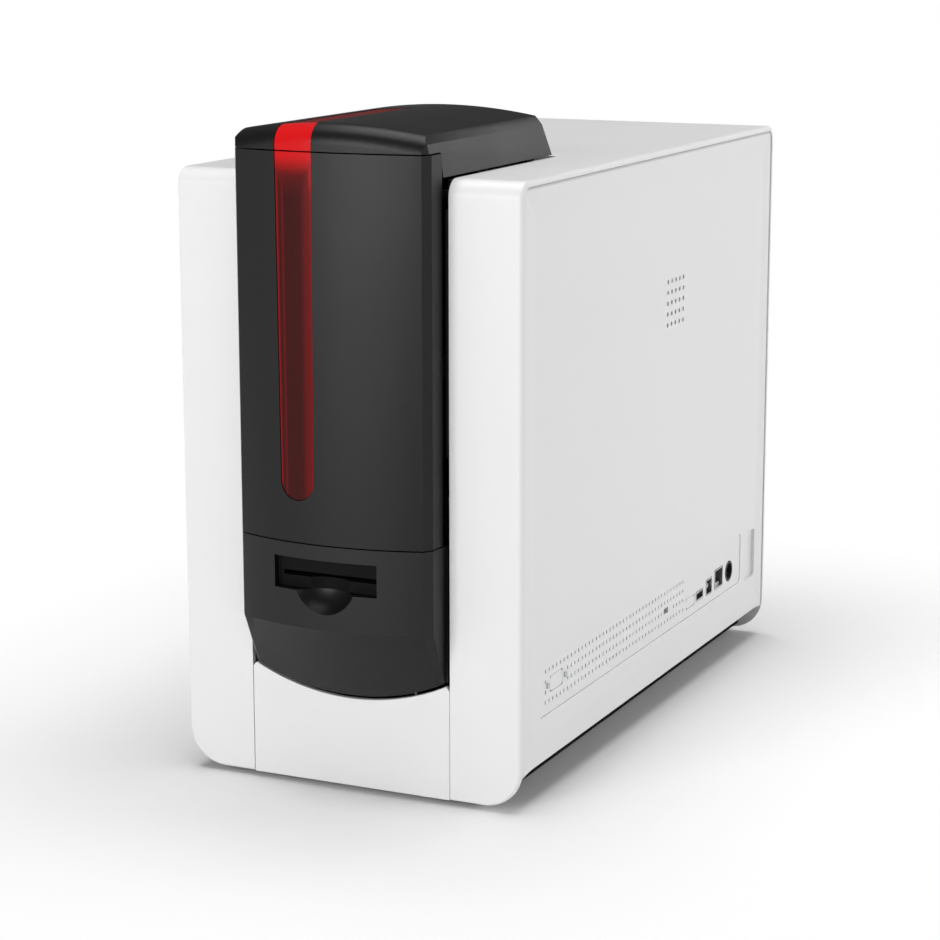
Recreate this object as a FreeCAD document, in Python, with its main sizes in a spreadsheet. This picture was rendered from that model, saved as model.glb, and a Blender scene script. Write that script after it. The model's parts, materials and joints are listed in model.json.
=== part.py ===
import FreeCAD, Part
import math
import os
import Sketcher

# ID card printer: a white casing with a black tower in front.
# Lengths are in millimetres. Each sub-part is drawn with x to the right, y from the white front
# towards the back and z up from the ground, and its placement brings the middle of the whole
# printer to the origin.

SIZES = [
    # Whole casing
    ("casing_width", 206.6), ("casing_depth", 405), ("casing_height", 340), ("ground_gap", 3),
    ("casing_wall", 3.4), ("casing_corner_radius", 22), ("casing_top_radius", 9.5),
    ("casing_edge_radius", 2), ("rim_radius", 6), ("overrun", 5), ("seat_gap", 0.3),
    # Side and rear panels
    ("panel_gap", 0.4), ("side_panel_wall", 3), ("side_panel_inset", 0.6),
    ("side_panel_bottom", 18.7), ("side_foot_length", 15), ("side_foot_drop", 1.8),
    ("side_vent_radius", 1.5), ("side_vent_pitch", 6.5), ("side_vent_y", 229), ("side_vent_z", 251),
    ("side_pocket_length", 19), ("side_pocket_from_back", 19.7), ("side_pocket_bottom", 45),
    ("side_pocket_top", 77.6), ("side_pocket_depth", 2.2), ("side_pocket_radius", 3),
    ("rear_frame", 16), ("rear_flange", 3), ("rear_flange_wall", 1.6), ("rear_panel_bottom", 30),
    ("rear_panel_top", 318), ("rear_slot_length", 70), ("rear_slot_height", 3),
    ("rear_slot_pitch", 7), ("rear_slot_z", 60),
    # Port strip on the right side
    ("strip_front", 27), ("strip_from_back", 48), ("strip_bottom", 47.2), ("strip_top", 79.5),
    ("strip_flange", 3), ("strip_flange_wall", 1), ("strip_inset", 0.5), ("strip_radius", 3),
    ("vent_width", 1.4), ("vent_height", 2.2), ("vent_pitch_y", 5.237), ("vent_pitch_z", 5.97),
    ("vent_front", 35.2), ("vent_bottom", 53), ("vent_from_back", 154.7),
    # Sockets in the port strip, as y of the middle, z of the middle, width and height
    ("serial_y", 51.2), ("serial_z", 63.2), ("serial_width", 16.9), ("serial_height", 8.8),
    ("serial_screw_spacing", 24.4), ("serial_screw_radius", 1.7), ("blank_radius", 2.5),
    ("blank_reach", 1.2), ("lock_from_back", 183.3), ("lock_z", 60.7), ("lock_width", 6.9),
    ("lock_height", 3), ("spare_from_back", 140.6), ("spare_z", 55.8), ("spare_width", 14.4),
    ("spare_height", 6.4), ("host_from_back", 123.6), ("host_z", 56.4), ("host_width", 13.2),
    ("host_height", 6), ("device_from_back", 106.3), ("device_z", 57.8), ("device_width", 11.3),
    ("device_height", 10.2), ("network_from_back", 88.2), ("network_z", 59.2),
    ("network_width", 15.4), ("network_height", 12.8), ("power_from_back", 68.8), ("power_z", 59.2),
    ("power_radius", 6.7), ("power_bore", 5.2), ("power_pin_radius", 0.6),
    ("power_pin_circle", 3.2), ("socket_wall", 0.8), ("socket_depth", 12),
    ("socket_gap", 0.3), ("socket_reach", 0.2),
    # Main board and its bracket
    ("board_setback", 18.2), ("board_wall", 1.6), ("board_length", 170), ("board_from_back", 55),
    ("board_bottom", 34), ("board_top", 128), ("bracket_wall", 1.5), ("bracket_foot", 18),
    ("spacer_length", 5), ("spacer_radius", 3), ("spacer_inset", 8), ("board_screw_radius", 2.6),
    ("board_screw_head", 1.8), ("chip_size", 14), ("chip_height", 1.8), ("can_radius", 5),
    ("can_height", 9),
    # Lower front panel
    ("seam_gap", 0.3), ("lower_panel_side", 64.6), ("lower_panel_middle", 50.8),
    ("lower_panel_chamfer", 2.2), ("arc_gap", 2.2),
    # Base and feet
    ("tray_setback", 12.7), ("tray_bottom", 6), ("tray_floor", 2.5), ("tray_height", 17),
    ("tray_ledge_front", 60), ("tray_ledge_from_back", 60), ("foot_radius", 9), ("foot_inset", 19),
    ("foot_front", 28), ("foot_from_back", 33),
    # Black tower: plan outline
    ("tower_half_width", 59.1), ("tower_side_gap", 2.2), ("shoulder_half_width", 58.3),
    ("front_half_width", 55), ("shoulder_front", 18.9), ("front_chamfer_depth", 5.2),
    ("bulge_bottom", 29), ("bulge_top", 25), ("tower_wall", 2.4), ("side_edge_y", 2),
    ("door_half_width", 58.6), ("door_edge_setback", 2), ("door_seam", 143.8),
    ("cover_seam", 353.6), ("seam", 0.7),
    # Lower bezel: break line, slot recess and thumb notch
    ("break_height", 96.9), ("bezel_low", 47), ("bezel_low_setback", 3), ("bezel_low_arc", 4.6),
    ("bezel_tail", 9), ("bezel_cavity_half", 48.5), ("bezel_cavity_front", 11.5),
    ("bezel_cavity_bottom", 86), ("recess_left", 31.6), ("recess_right", 30.5),
    ("recess_bottom", 117.4), ("recess_top", 135.3), ("recess_depth", 8), ("notch_radius", 21.4),
    ("notch_front", 38.4), ("notch_z", 124.7), ("slot_half_width", 28.4), ("slot_height", 2.6),
    # Red window
    ("window_left_top", 29.4), ("window_left_bottom", 26.5), ("window_right_top", 6.4),
    ("window_right_bottom", 5.4), ("window_foot", 166.9), ("window_recess", 0.5),
    ("window_wall", 2), ("window_gap", 0.2), ("window_cut_depth", 14), ("cover_window_back", 97),
    # Door hinge on the left
    ("hinge_x", 50.7), ("hinge_y", 7), ("hinge_arm_radius", 2.5), ("hinge_arm_gap", 0.6),
    ("hinge_pin_radius", 1.5), ("hinge_boss_radius", 3.3), ("hinge_boss_length", 11),
    ("hinge_clearance", 0.05), ("hinge_arm_height", 3.4), ("hinge_arm_lift", 0.5),
    ("hinge_pin_reach", 9), ("door_swing_radius", 11.6), ("catch_x", 51), ("catch_z", 243),
    ("catch_width", 8), ("catch_height", 12), ("catch_depth", 3), ("catch_back", 5),
    ("lug_depth", 4), ("strike_front", 9),
    # Top cover
    ("crown_height", 368.7), ("crown_edge_drop", 5), ("crown_half_width", 53.8),
    ("cover_shoulder_half", 56.9), ("cover_shoulder_drop", 10), ("cover_foot_gap", 0.8),
    ("cover_back_top", 127.1), ("cover_back_foot", 141.5), ("cover_front_radius", 11),
    ("cover_cheek_setback", 1.4), ("cover_cavity_half", 44), ("cover_notch_top", 352.5),
    ("cover_front_cavity", 10), ("cover_bay_front", 4), ("cover_bay_back", 122),
    ("opening_back", 143.2), ("cover_hinge_y", 129.5), ("cover_hinge_z", 349),
    ("cover_pin_radius", 2), ("cover_boss_radius", 4.4), ("cover_ear_inner", 46),
    ("cover_ear_outer", 51), ("cover_pin_reach", 2), ("cover_pin_half", 54.2),
    # Tower frame
    ("frame_wall", 1.6), ("frame_front", 4), ("frame_back", 139), ("frame_floor", 3),
    ("frame_bar_height", 12), ("frame_bar_depth", 14), ("frame_bar_top", 334), ("jamb_bottom", 195),
    ("jamb_top", 327), ("jamb_reach", 3.4),
    # Chassis plates that carry the rollers
    ("chassis_inner", 34), ("chassis_wall", 1.6), ("chassis_front", 12), ("chassis_from_back", 43),
    ("chassis_deck", 160), ("chassis_rear_top", 205), ("chassis_bay_front", 84),
    ("chassis_bay_back", 172), ("chassis_bay_top", 334), ("chassis_step", 250),
    ("bearing_clearance", 0.05), ("tie_radius", 3), ("tie_low_z", 40), ("tie_front_y", 30),
    ("tie_back_from_back", 55), ("tie_high_y", 240), ("tie_high_z", 190),
    # Card path and rollers
    ("feed_z", 164), ("exit_z", 127.5), ("card_thickness", 0.8), ("shaft_radius", 3),
    ("roller_radius", 8), ("pinch_radius", 5.4), ("roller_half", 27), ("roller_gap", 0.1),
    ("shaft_stub", 1), ("pick_y", 20), ("pick_half", 9), ("feed_y", 92), ("platen_y", 117),
    ("transport_y", 190), ("exit_front_y", 48), ("exit_middle_y", 126), ("exit_rear_y", 205),
    ("cleaning_radius", 7),
    # Belts and pulleys
    ("pulley_radius", 6), ("pulley_start", 38), ("pulley_width", 6), ("belt_wall", 1.4),
    ("belt_inset", 0.6), ("belt_gap", 0.3), ("flange_rise", 1.9), ("flange_wall", 0.5),
    ("motor_side", 35), ("motor_length", 30), ("motor_shaft_radius", 2.5), ("motor_boss", 1), ("motor_chamfer", 4), ("feed_motor_y", 105),
    ("feed_motor_z", 92), ("exit_motor_y", 140), ("exit_motor_z", 84), ("turn_motor_z", 62),
    ("turn_pulley_radius", 12),
    # Card guides
    ("guide_wall", 1.2), ("guide_drop", 0.3), ("guide_roller_gap", 1.5), ("feed_guide_front", 104),
    ("guide_back", 243),
    # Hopper and card weight
    ("card_half", 27.5), ("hopper_wall", 2), ("hopper_front", 9), ("hopper_back", 80),
    ("hopper_top", 330), ("hopper_lip", 10), ("hopper_flange", 36), ("hopper_flange_wall", 2),
    ("hopper_slot_gap", 1.5), ("weight_height", 12), ("weight_gap", 0.6), ("weight_grip_half", 9),
    ("weight_grip_height", 10), ("weight_grip_wall", 3),
    # Print head and its bracket
    ("head_half", 29), ("head_depth", 12), ("head_height", 10), ("head_edge", 4), ("head_gap", 0.3),
    ("bracket_y", 150), ("bracket_z", 182), ("bracket_boss_radius", 6), ("bracket_half", 33),
    ("bracket_arm", 2), ("bracket_pin_radius", 3),
    # Ribbon cartridge
    ("ribbon_y", 113), ("supply_z", 292), ("takeup_z", 230), ("core_radius", 9),
    ("supply_roll_radius", 15), ("takeup_roll_radius", 13), ("roll_half", 27), ("core_half", 30),
    ("cartridge_side_gap", 0.5), ("cartridge_wall", 2), ("cartridge_front", 92),
    ("cartridge_back", 128), ("cartridge_bottom", 202), ("cartridge_top", 318),
    ("cartridge_bar_radius", 3), ("cartridge_bar_inset", 6), ("cartridge_handle_half", 18),
    ("cartridge_handle_height", 9), ("cartridge_handle_wall", 3), ("cartridge_handle_y", 104),
    ("spool_shaft_radius", 4),
    # Ribbon gears
    ("tooth_module", 0.8), ("takeup_teeth", 40), ("idler_teeth", 20), ("pinion_teeth", 15),
    ("gear_start", 37), ("gear_width", 5), ("gear_line_rise", 17), ("idler_pin_radius", 2),
    # Flipper
    ("turn_from_back", 105), ("turn_half_length", 43), ("turn_half_width", 30.5),
    ("turn_side_wall", 2), ("turn_side_drop", 11), ("turn_side_rise", 6), ("turn_axle_radius", 4),
    ("turn_guide_lift", 2), ("turn_web_half", 14),
    # Fan on the rear panel
    ("fan_side", 60), ("fan_depth", 15), ("fan_z", 235), ("fan_bore", 28), ("fan_hub_radius", 12),
    ("fan_blade_radius", 26.5), ("fan_blade_wall", 1.6), ("fan_strut", 3), ("fan_hub_depth", 9),
    ("fan_plate", 2), ("fan_corner", 4), ("fan_pin_radius", 1.5), ("fan_blade_depth", 7),
    ("fan_gap", 1),
]

HALF_TURN_SHARE = math.sqrt(0.5)
HALF_TURN = 180
FULL_TURN = 360
BLADES = 7
REAR_SLOTS = 7
NEAR = 1e-3
# How far each corner of the tower's plan outline moves for an inset, as shares of the inset
EDGE_SHARES = (0.64, 0.85, 0.99, 0.31, 1.0)
# A gear tooth's root drop, tip rise, half width at the root and half width at the tip, as shares of the module
TOOTH_SHARES = (1.3, 0.9, 1.05, 0.32)

# A socket's tongue, left, right, bottom and top, as shares of half the socket's width and height
HOST_TONGUE_SHARES = (-0.75, 0.75, 0.1, 0.45)
DEVICE_TONGUE_SHARES = (-0.45, 0.45, -0.25, 0.3)
NETWORK_TONGUE_SHARES = (-0.6, 0.6, -0.86, -0.5)

doc = FreeCAD.newDocument("card_printer")
sheet = doc.addObject("Spreadsheet::Sheet", "Sizes")
for row, (alias, number) in enumerate(SIZES, 1):
    sheet.set(f"A{row}", alias)
    sheet.set(f"B{row}", str(number))
    sheet.setAlias(f"B{row}", alias)
doc.recompute()


class Size:
    """A length: its value, and the formula on the sheet's cells that gives it."""

    def __init__(self, value, text):
        self.value = float(value)
        self.text = text

    def __add__(self, other):
        other = size(other)
        return Size(self.value + other.value, f"({self.text} + {other.text})")

    def __sub__(self, other):
        other = size(other)
        return Size(self.value - other.value, f"({self.text} - {other.text})")

    def __mul__(self, other):
        other = size(other)
        return Size(self.value * other.value, f"({self.text} * {other.text})")

    def __truediv__(self, other):
        other = size(other)
        return Size(self.value / other.value, f"({self.text} / {other.text})")

    def __radd__(self, other):
        return size(other) + self

    def __rsub__(self, other):
        return size(other) - self

    def __rmul__(self, other):
        return size(other) * self

    def __neg__(self):
        return Size(-self.value, f"(0 - {self.text})")


def size(item):
    """The item itself when it is a Size, or a Size for a plain number."""
    return item if isinstance(item, Size) else Size(item, repr(float(item)))


def whole(item):
    """The whole number below a Size."""
    return Size(math.floor(item.value + NEAR), f"floor({item.text} + {NEAR})")


def root(item):
    """The square root of a Size."""
    return Size(math.sqrt(item.value), f"sqrt({item.text})")


class Cells:
    """The sheet's cells as Sizes, one attribute for each alias."""

    def __init__(self, table):
        for name, _ in table:
            setattr(self, name, Size(getattr(sheet, name), f"Sizes.{name}"))


d = Cells(SIZES)

# Places that many sub-parts share
half_width = d.casing_width / 2
top_z = d.ground_gap + d.casing_height
channel_half = d.tower_half_width + d.tower_side_gap
origin_shift = (d.bulge_bottom - d.casing_depth) / 2
tray_top = d.tray_bottom + d.tray_floor
door_bottom = d.ground_gap + d.door_seam + d.seam / 2
door_top = d.ground_gap + d.cover_seam - d.seam / 2
bezel_top = d.ground_gap + d.door_seam - d.seam / 2
cover_bottom = d.ground_gap + d.cover_seam + d.seam / 2
crown_z = d.ground_gap + d.crown_height
cover_foot = top_z + d.cover_foot_gap
break_z = d.ground_gap + d.break_height
frame_outer = channel_half - d.seat_gap
frame_inner = frame_outer - d.frame_wall
feed_axis_z = d.feed_z - d.roller_gap - d.roller_radius
exit_axis_z = d.exit_z - d.roller_gap - d.roller_radius
feed_top = d.feed_z + d.card_thickness + d.roller_gap
turn_z = (d.feed_z + d.exit_z + d.card_thickness) / 2
chassis_outer = d.chassis_inner + d.chassis_wall
shaft_hole = d.shaft_radius + d.bearing_clearance
panel_outer = half_width - d.side_panel_inset
panel_inner = panel_outer - d.side_panel_wall
strip_outer = panel_outer - d.strip_inset
strip_inner = panel_inner - d.strip_flange_wall
strip_back = d.casing_depth - d.strip_from_back
lock_y = d.casing_depth - d.lock_from_back
spare_y = d.casing_depth - d.spare_from_back
host_y = d.casing_depth - d.host_from_back
device_y = d.casing_depth - d.device_from_back
network_y = d.casing_depth - d.network_from_back
power_y = d.casing_depth - d.power_from_back
board_back = d.casing_depth - d.board_from_back
foot_back = d.casing_depth - d.foot_from_back
tray_ledge_back = d.casing_depth - d.tray_ledge_from_back
chassis_back = d.casing_depth - d.chassis_from_back
tie_back_y = d.casing_depth - d.tie_back_from_back
turn_y = d.casing_depth - d.turn_from_back
vent_stop = d.casing_depth - d.vent_from_back
side_pocket_back = d.casing_depth - d.side_pocket_from_back
side_pocket_front = side_pocket_back - d.side_pocket_length
board_front = board_back - d.board_length
board_x = strip_outer - d.board_setback
tray_half_width = panel_inner - d.tray_setback
foot_x = tray_half_width - d.foot_inset
rear_inner = d.casing_depth - d.casing_wall - d.rear_flange_wall
gear_distance = d.tooth_module * (d.takeup_teeth + 2 * d.idler_teeth + d.pinion_teeth) / 2
gear_run = root(gear_distance * gear_distance - d.gear_line_rise * d.gear_line_rise)
idler_distance = d.tooth_module * (d.takeup_teeth + d.idler_teeth) / 2
idler_y = d.ribbon_y + gear_run * idler_distance / gear_distance
idler_z = d.takeup_z - d.gear_line_rise * idler_distance / gear_distance
pinion_y = d.ribbon_y + gear_run
pinion_z = d.takeup_z - d.gear_line_rise


def bind(item, name, length):
    """Ties a property to the formula of a Size."""
    item.setExpression(name, size(length).text)


def new_body(label, y=0, z=0):
    """An empty body whose own zero lies at y and z; the middle of the whole printer is the origin."""
    body = doc.addObject("PartDesign::Body", label)
    body.Label = label
    bind(body, "Placement.Base.y", origin_shift + y)
    bind(body, "Placement.Base.z", z)
    return body


def point_of(pair):
    """A flat point of plain numbers for a pair of sizes."""
    return FreeCAD.Vector(size(pair[0]).value, size(pair[1]).value, 0)


def pin_point(rules, ties, geometry, position, pair):
    """Fixes one point of a sketch at a pair of sizes, measured from the sketch's origin."""
    for kind, axis, length in (("DistanceX", -2, pair[0]), ("DistanceY", -1, pair[1])):
        length = size(length)
        if length.value == 0:
            rules.append(Sketcher.Constraint("PointOnObject", geometry, position, axis))
        else:
            ties.append((len(rules), length))
            rules.append(Sketcher.Constraint(kind, -1, 1, geometry, position, length.value))


def arc_between(start, through, end):
    """The arc through three points, and whether it runs anticlockwise from the first."""
    circle = Part.Arc(start, through, end).toShape().Curve
    middle = circle.Center
    flat = Part.Circle(middle, FreeCAD.Vector(0, 0, 1), circle.Radius)
    forward = (through - start).cross(end - through).z > 0
    first, last = (start, end) if forward else (end, start)
    angles = [math.atan2(p.y - middle.y, p.x - middle.x) for p in (first, last)]
    if angles[1] <= angles[0]:
        angles[1] += 2 * math.pi
    return Part.ArcOfCircle(flat, angles[0], angles[1]), forward


def draw(sketch, loops, circles):
    """Draws closed outlines and circles whose points are tied to the sheet.

    An outline's point is (x, y), or (x, y, (x, y)) with a point that the arc to the next one passes.
    A circle is (x, y, radius).
    """
    rules = []
    ties = []
    for loop in loops:
        ends = []
        for index, item in enumerate(loop):
            after = loop[(index + 1) % len(loop)]
            start, end = point_of(item), point_of(after)
            if len(item) == 3:
                arc, forward = arc_between(start, point_of(item[2]), end)
                number = sketch.addGeometry(arc, False)
                ends.append((number, 1, 2) if forward else (number, 2, 1))
                mark = sketch.addGeometry(Part.Point(point_of(item[2])), True)
                pin_point(rules, ties, mark, 1, item[2])
                rules.append(Sketcher.Constraint("PointOnObject", mark, 1, number))
            else:
                number = sketch.addGeometry(Part.LineSegment(start, end), False)
                ends.append((number, 1, 2))
        for index, item in enumerate(loop):
            number, first, _ = ends[index]
            before, _, last = ends[index - 1]
            rules.append(Sketcher.Constraint("Coincident", before, last, number, first))
            pin_point(rules, ties, number, first, item)
    for x, y, radius in circles:
        ring = Part.Circle(point_of((x, y)), FreeCAD.Vector(0, 0, 1), size(radius).value)
        number = sketch.addGeometry(ring, False)
        pin_point(rules, ties, number, 3, (x, y))
        ties.append((len(rules), size(radius)))
        rules.append(Sketcher.Constraint("Radius", number, size(radius).value))
    sketch.addConstraint(rules)
    for index, length in ties:
        bind(sketch, f"Constraints[{index}]", length)


PLANES = {"x": ("YZ_Plane", 1), "y": ("XZ_Plane", -1), "z": ("XY_Plane", 1)}


def sketch_at(body, axis, level, loops=(), circles=()):
    """A sketch across the named axis at a level along it."""
    role, sign = PLANES[axis]
    plane = next(item for item in body.Origin.OriginFeatures if item.Role == role)
    sketch = body.newObject("Sketcher::SketchObject", f"{body.Label}_outline")
    sketch.AttachmentSupport = [(plane, "")]
    sketch.MapMode = "FlatFace"
    bind(sketch, "AttachmentOffset.Base.z", sign * size(level))
    draw(sketch, loops, circles)
    return sketch


def prism(body, axis, low, high, loops=(), circles=(), cut=False):
    """Adds or cuts a straight prism between two levels along an axis."""
    sketch = sketch_at(body, axis, low, loops, circles)
    kind = "Pocket" if cut else "Pad"
    feature = body.newObject(f"PartDesign::{kind}", f"{body.Label}_{kind.lower()}")
    feature.Profile = sketch
    bind(feature, "Length", high - low)
    feature.Reversed = (axis == "y") != cut
    body.Tip = feature
    return feature


def loft(body, sections, cut=False):
    """Adds or cuts a straight-sided loft through outlines at levels along z."""
    sketches = [sketch_at(body, "z", level, [outline]) for level, outline in sections]
    kind = "SubtractiveLoft" if cut else "AdditiveLoft"
    feature = body.newObject(f"PartDesign::{kind}", f"{body.Label}_loft")
    feature.Profile = sketches[0]
    feature.Sections = sketches[1:]
    feature.Ruled = True
    body.Tip = feature
    return feature


def cosine(angle):
    """The cosine of a Size in degrees."""
    return Size(math.cos(math.radians(angle.value)), f"cos({angle.text})")


def sine(angle):
    """The sine of a Size in degrees."""
    return Size(math.sin(math.radians(angle.value)), f"sin({angle.text})")


def box_loop(left, right, bottom, top):
    """A rectangle."""
    return [(left, bottom), (right, bottom), (right, top), (left, top)]


def round_loop(left, right, bottom, top, radius):
    """A rectangle with four equal round corners."""
    near = radius * (1 - HALF_TURN_SHARE)
    return [
        (left, bottom + radius, (left + near, bottom + near)), (left + radius, bottom),
        (right - radius, bottom, (right - near, bottom + near)), (right, bottom + radius),
        (right, top - radius, (right - near, top - near)), (right - radius, top),
        (left + radius, top, (left + near, top - near)), (left, top - radius),
    ]


def fillet(body, radius, test):
    """Rounds the edges of the body whose middle point passes the test."""
    doc.recompute()
    base = body.Tip
    names = []
    for number, edge in enumerate(base.Shape.Edges, 1):
        middle = edge.valueAt((edge.FirstParameter + edge.LastParameter) / 2)
        if test(middle):
            names.append(f"Edge{number}")
    feature = body.newObject("PartDesign::Fillet", f"{body.Label}_fillet")
    feature.Base = (base, names)
    bind(feature, "Radius", radius)
    body.Tip = feature
    return feature


def around(body, feature, axis_role, count):
    """Repeats a feature evenly round one of the body's own axes."""
    doc.recompute()
    axis = next(item for item in body.Origin.OriginFeatures if item.Role == axis_role)
    pattern = body.newObject("PartDesign::PolarPattern", f"{body.Label}_pattern")
    pattern.Originals = [feature]
    pattern.Axis = (axis, [""])
    pattern.Angle = FULL_TURN
    bind(pattern, "Occurrences", count)
    body.Tip = pattern


def along(body, feature, axis_role, step, count):
    """Repeats a feature in a row along one of the body's own axes."""
    doc.recompute()
    axis = next(item for item in body.Origin.OriginFeatures if item.Role == axis_role)
    pattern = body.newObject("PartDesign::LinearPattern", f"{body.Label}_pattern")
    pattern.Originals = [feature]
    pattern.Direction = (axis, [""])
    bind(pattern, "Length", step * (count - 1))
    bind(pattern, "Occurrences", count)
    body.Tip = pattern


def rod(body, axis_y, axis_z, left, right, radius, cut=False):
    """A round bar or hole along x."""
    return prism(body, "x", left, right, circles=[(axis_y, axis_z, radius)], cut=cut)


def tower_outline(bulge, back_half, back_y, inset):
    """The tower's plan outline: a front arc, two chamfers and two sides, drawn in by an inset."""
    corner_x, corner_y, side_x, side_y, back_x = EDGE_SHARES
    shoulder_y = -d.shoulder_front
    xs, ys = d.front_half_width - inset * corner_x, shoulder_y + inset * corner_y
    xc, yc = d.shoulder_half_width - inset * side_x, shoulder_y + d.front_chamfer_depth + inset * side_y
    xe = back_half - inset * back_x
    return [
        (-xe, back_y), (-xc, yc), (-xs, ys, (0, inset - bulge)), (xs, ys), (xc, yc), (xe, back_y),
    ]


def casing_hood():
    """White shell: two front columns, the top and the rear wall, open at the sides and below."""
    body = new_body("casing_hood")
    low, radius = d.ground_gap, d.casing_corner_radius
    near = radius * (1 - HALF_TURN_SHARE)
    front = [
        (-half_width, low + radius, (near - half_width, low + near)), (radius - half_width, low),
        (half_width - radius, low, (half_width - near, low + near)), (half_width, low + radius),
        (half_width, top_z), (-half_width, top_z),
    ]
    prism(body, "y", 0, d.casing_depth, [front])
    top, depth, side = top_z.value, d.casing_depth.value, half_width.value
    fillet(body, d.casing_top_radius, lambda p: abs(p.z - top) < NEAR and min(p.y, depth - p.y) < NEAR)
    fillet(body, d.casing_edge_radius, lambda p: abs(p.z - top) < NEAR and abs(abs(p.x) - side) < NEAR)
    wall = d.casing_wall
    inside = box_loop(wall - half_width, half_width - wall, wall, d.casing_depth - wall)
    prism(body, "z", 0, top_z - wall, [inside], cut=True)
    opening = round_loop(wall, d.casing_depth - wall, -d.rim_radius, top_z - wall, d.rim_radius)
    prism(body, "x", -half_width - d.overrun, half_width + d.overrun, [opening], cut=True)
    channel = box_loop(-channel_half, channel_half, -d.overrun, d.opening_back)
    prism(body, "z", 0, top_z + d.overrun, [channel], cut=True)
    frame = d.rear_frame
    rear = box_loop(frame - half_width, half_width - frame, d.rear_panel_bottom, d.rear_panel_top)
    prism(body, "y", d.casing_depth - wall - d.overrun, d.casing_depth + d.overrun, [rear], cut=True)


def lower_front_panel():
    """White panel between the columns, under the black bezel, with its top edge a hollow arc."""
    body = new_body("lower_front_panel")
    half = channel_half - d.seam_gap
    side = d.ground_gap + d.lower_panel_side
    middle = d.ground_gap + d.lower_panel_middle
    cut = d.lower_panel_chamfer
    outline = [
        (-half, d.ground_gap), (half, d.ground_gap), (half, side - cut),
        (half - cut, side, (0, middle)), (cut - half, side), (-half, side - cut),
    ]
    prism(body, "y", 0, d.casing_wall, [outline])


def side_outline():
    """The side panel's outline in y and z: straight bottom edge, curved feet and round top corners."""
    front, back = d.casing_wall + d.panel_gap, d.casing_depth - d.casing_wall - d.panel_gap
    bottom = d.ground_gap + d.side_panel_bottom
    top = top_z - d.casing_wall - d.panel_gap
    long, drop, radius = d.side_foot_length, d.side_foot_drop, d.rim_radius
    near = radius * (1 - HALF_TURN_SHARE)
    return [
        (front, bottom - drop, (front + long / 2, bottom - drop / 4)), (front + long, bottom),
        (back - long, bottom, (back - long / 2, bottom - drop / 4)), (back, bottom - drop),
        (back, top - radius, (back - near, top - near)), (back - radius, top),
        (front + radius, top, (front + near, top - near)), (front, top - radius),
    ]


def side_vent(body, low, high):
    """A small square field of round holes in a side panel."""
    holes = []
    for row in range(-2, 3):
        for column in range(-2, 3):
            y = d.side_vent_y + column * d.side_vent_pitch
            z = d.side_vent_z + row * d.side_vent_pitch
            holes.append((y, z, d.side_vent_radius))
    prism(body, "x", low, high, circles=holes, cut=True)


def side_panels():
    """White panels that fill the hood's open sides, the right one with a window for the port strip."""
    left = new_body("left_side_panel")
    prism(left, "x", -panel_outer, -panel_inner, [side_outline()])
    side_vent(left, -panel_outer - d.overrun, d.overrun - panel_inner)
    right = new_body("right_side_panel")
    prism(right, "x", panel_inner, panel_outer, [side_outline()])
    side_vent(right, panel_inner - d.overrun, panel_outer + d.overrun)
    gap = d.panel_gap / 2
    window = round_loop(d.strip_front - gap, strip_back + gap, d.strip_bottom - gap, d.strip_top + gap, d.strip_radius)
    prism(right, "x", panel_inner - d.overrun, panel_outer + d.overrun, [window], cut=True)
    pocket = round_loop(side_pocket_front, side_pocket_back, d.side_pocket_bottom, d.side_pocket_top,
                        d.side_pocket_radius)
    prism(right, "x", panel_outer - d.side_pocket_depth, panel_outer + d.overrun, [pocket], cut=True)


def rear_panel():
    """Plate in the rear wall, with a row of long slots for the fan and a lower field of slots."""
    body = new_body("rear_panel")
    frame = d.rear_frame + d.panel_gap
    back = d.casing_depth - d.side_panel_inset
    plate = box_loop(frame - half_width, half_width - frame,
                     d.rear_panel_bottom + d.panel_gap, d.rear_panel_top - d.panel_gap)
    prism(body, "y", rear_inner, back, [plate])
    rim = frame - d.rear_flange
    flange = box_loop(rim - half_width, half_width - rim,
                      d.rear_panel_bottom - d.rear_flange, d.rear_panel_top + d.rear_flange)
    prism(body, "y", rear_inner, rear_inner + d.rear_flange_wall, [flange])
    half = d.rear_slot_length / 2
    slots = []
    for base in (d.rear_slot_z, d.fan_z - 3 * d.rear_slot_pitch):
        for row in range(REAR_SLOTS):
            low = base + row * d.rear_slot_pitch - d.rear_slot_height / 2
            slots.append(box_loop(-half, half, low, low + d.rear_slot_height))
    prism(body, "y", rear_inner - d.overrun, back + d.overrun, slots, cut=True)


def port_window(y, z, width, height):
    """The rectangular hole in the strip round a socket."""
    gap = d.socket_gap
    return box_loop(y - width / 2 - gap, y + width / 2 + gap, z - height / 2 - gap, z + height / 2 + gap)


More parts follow.
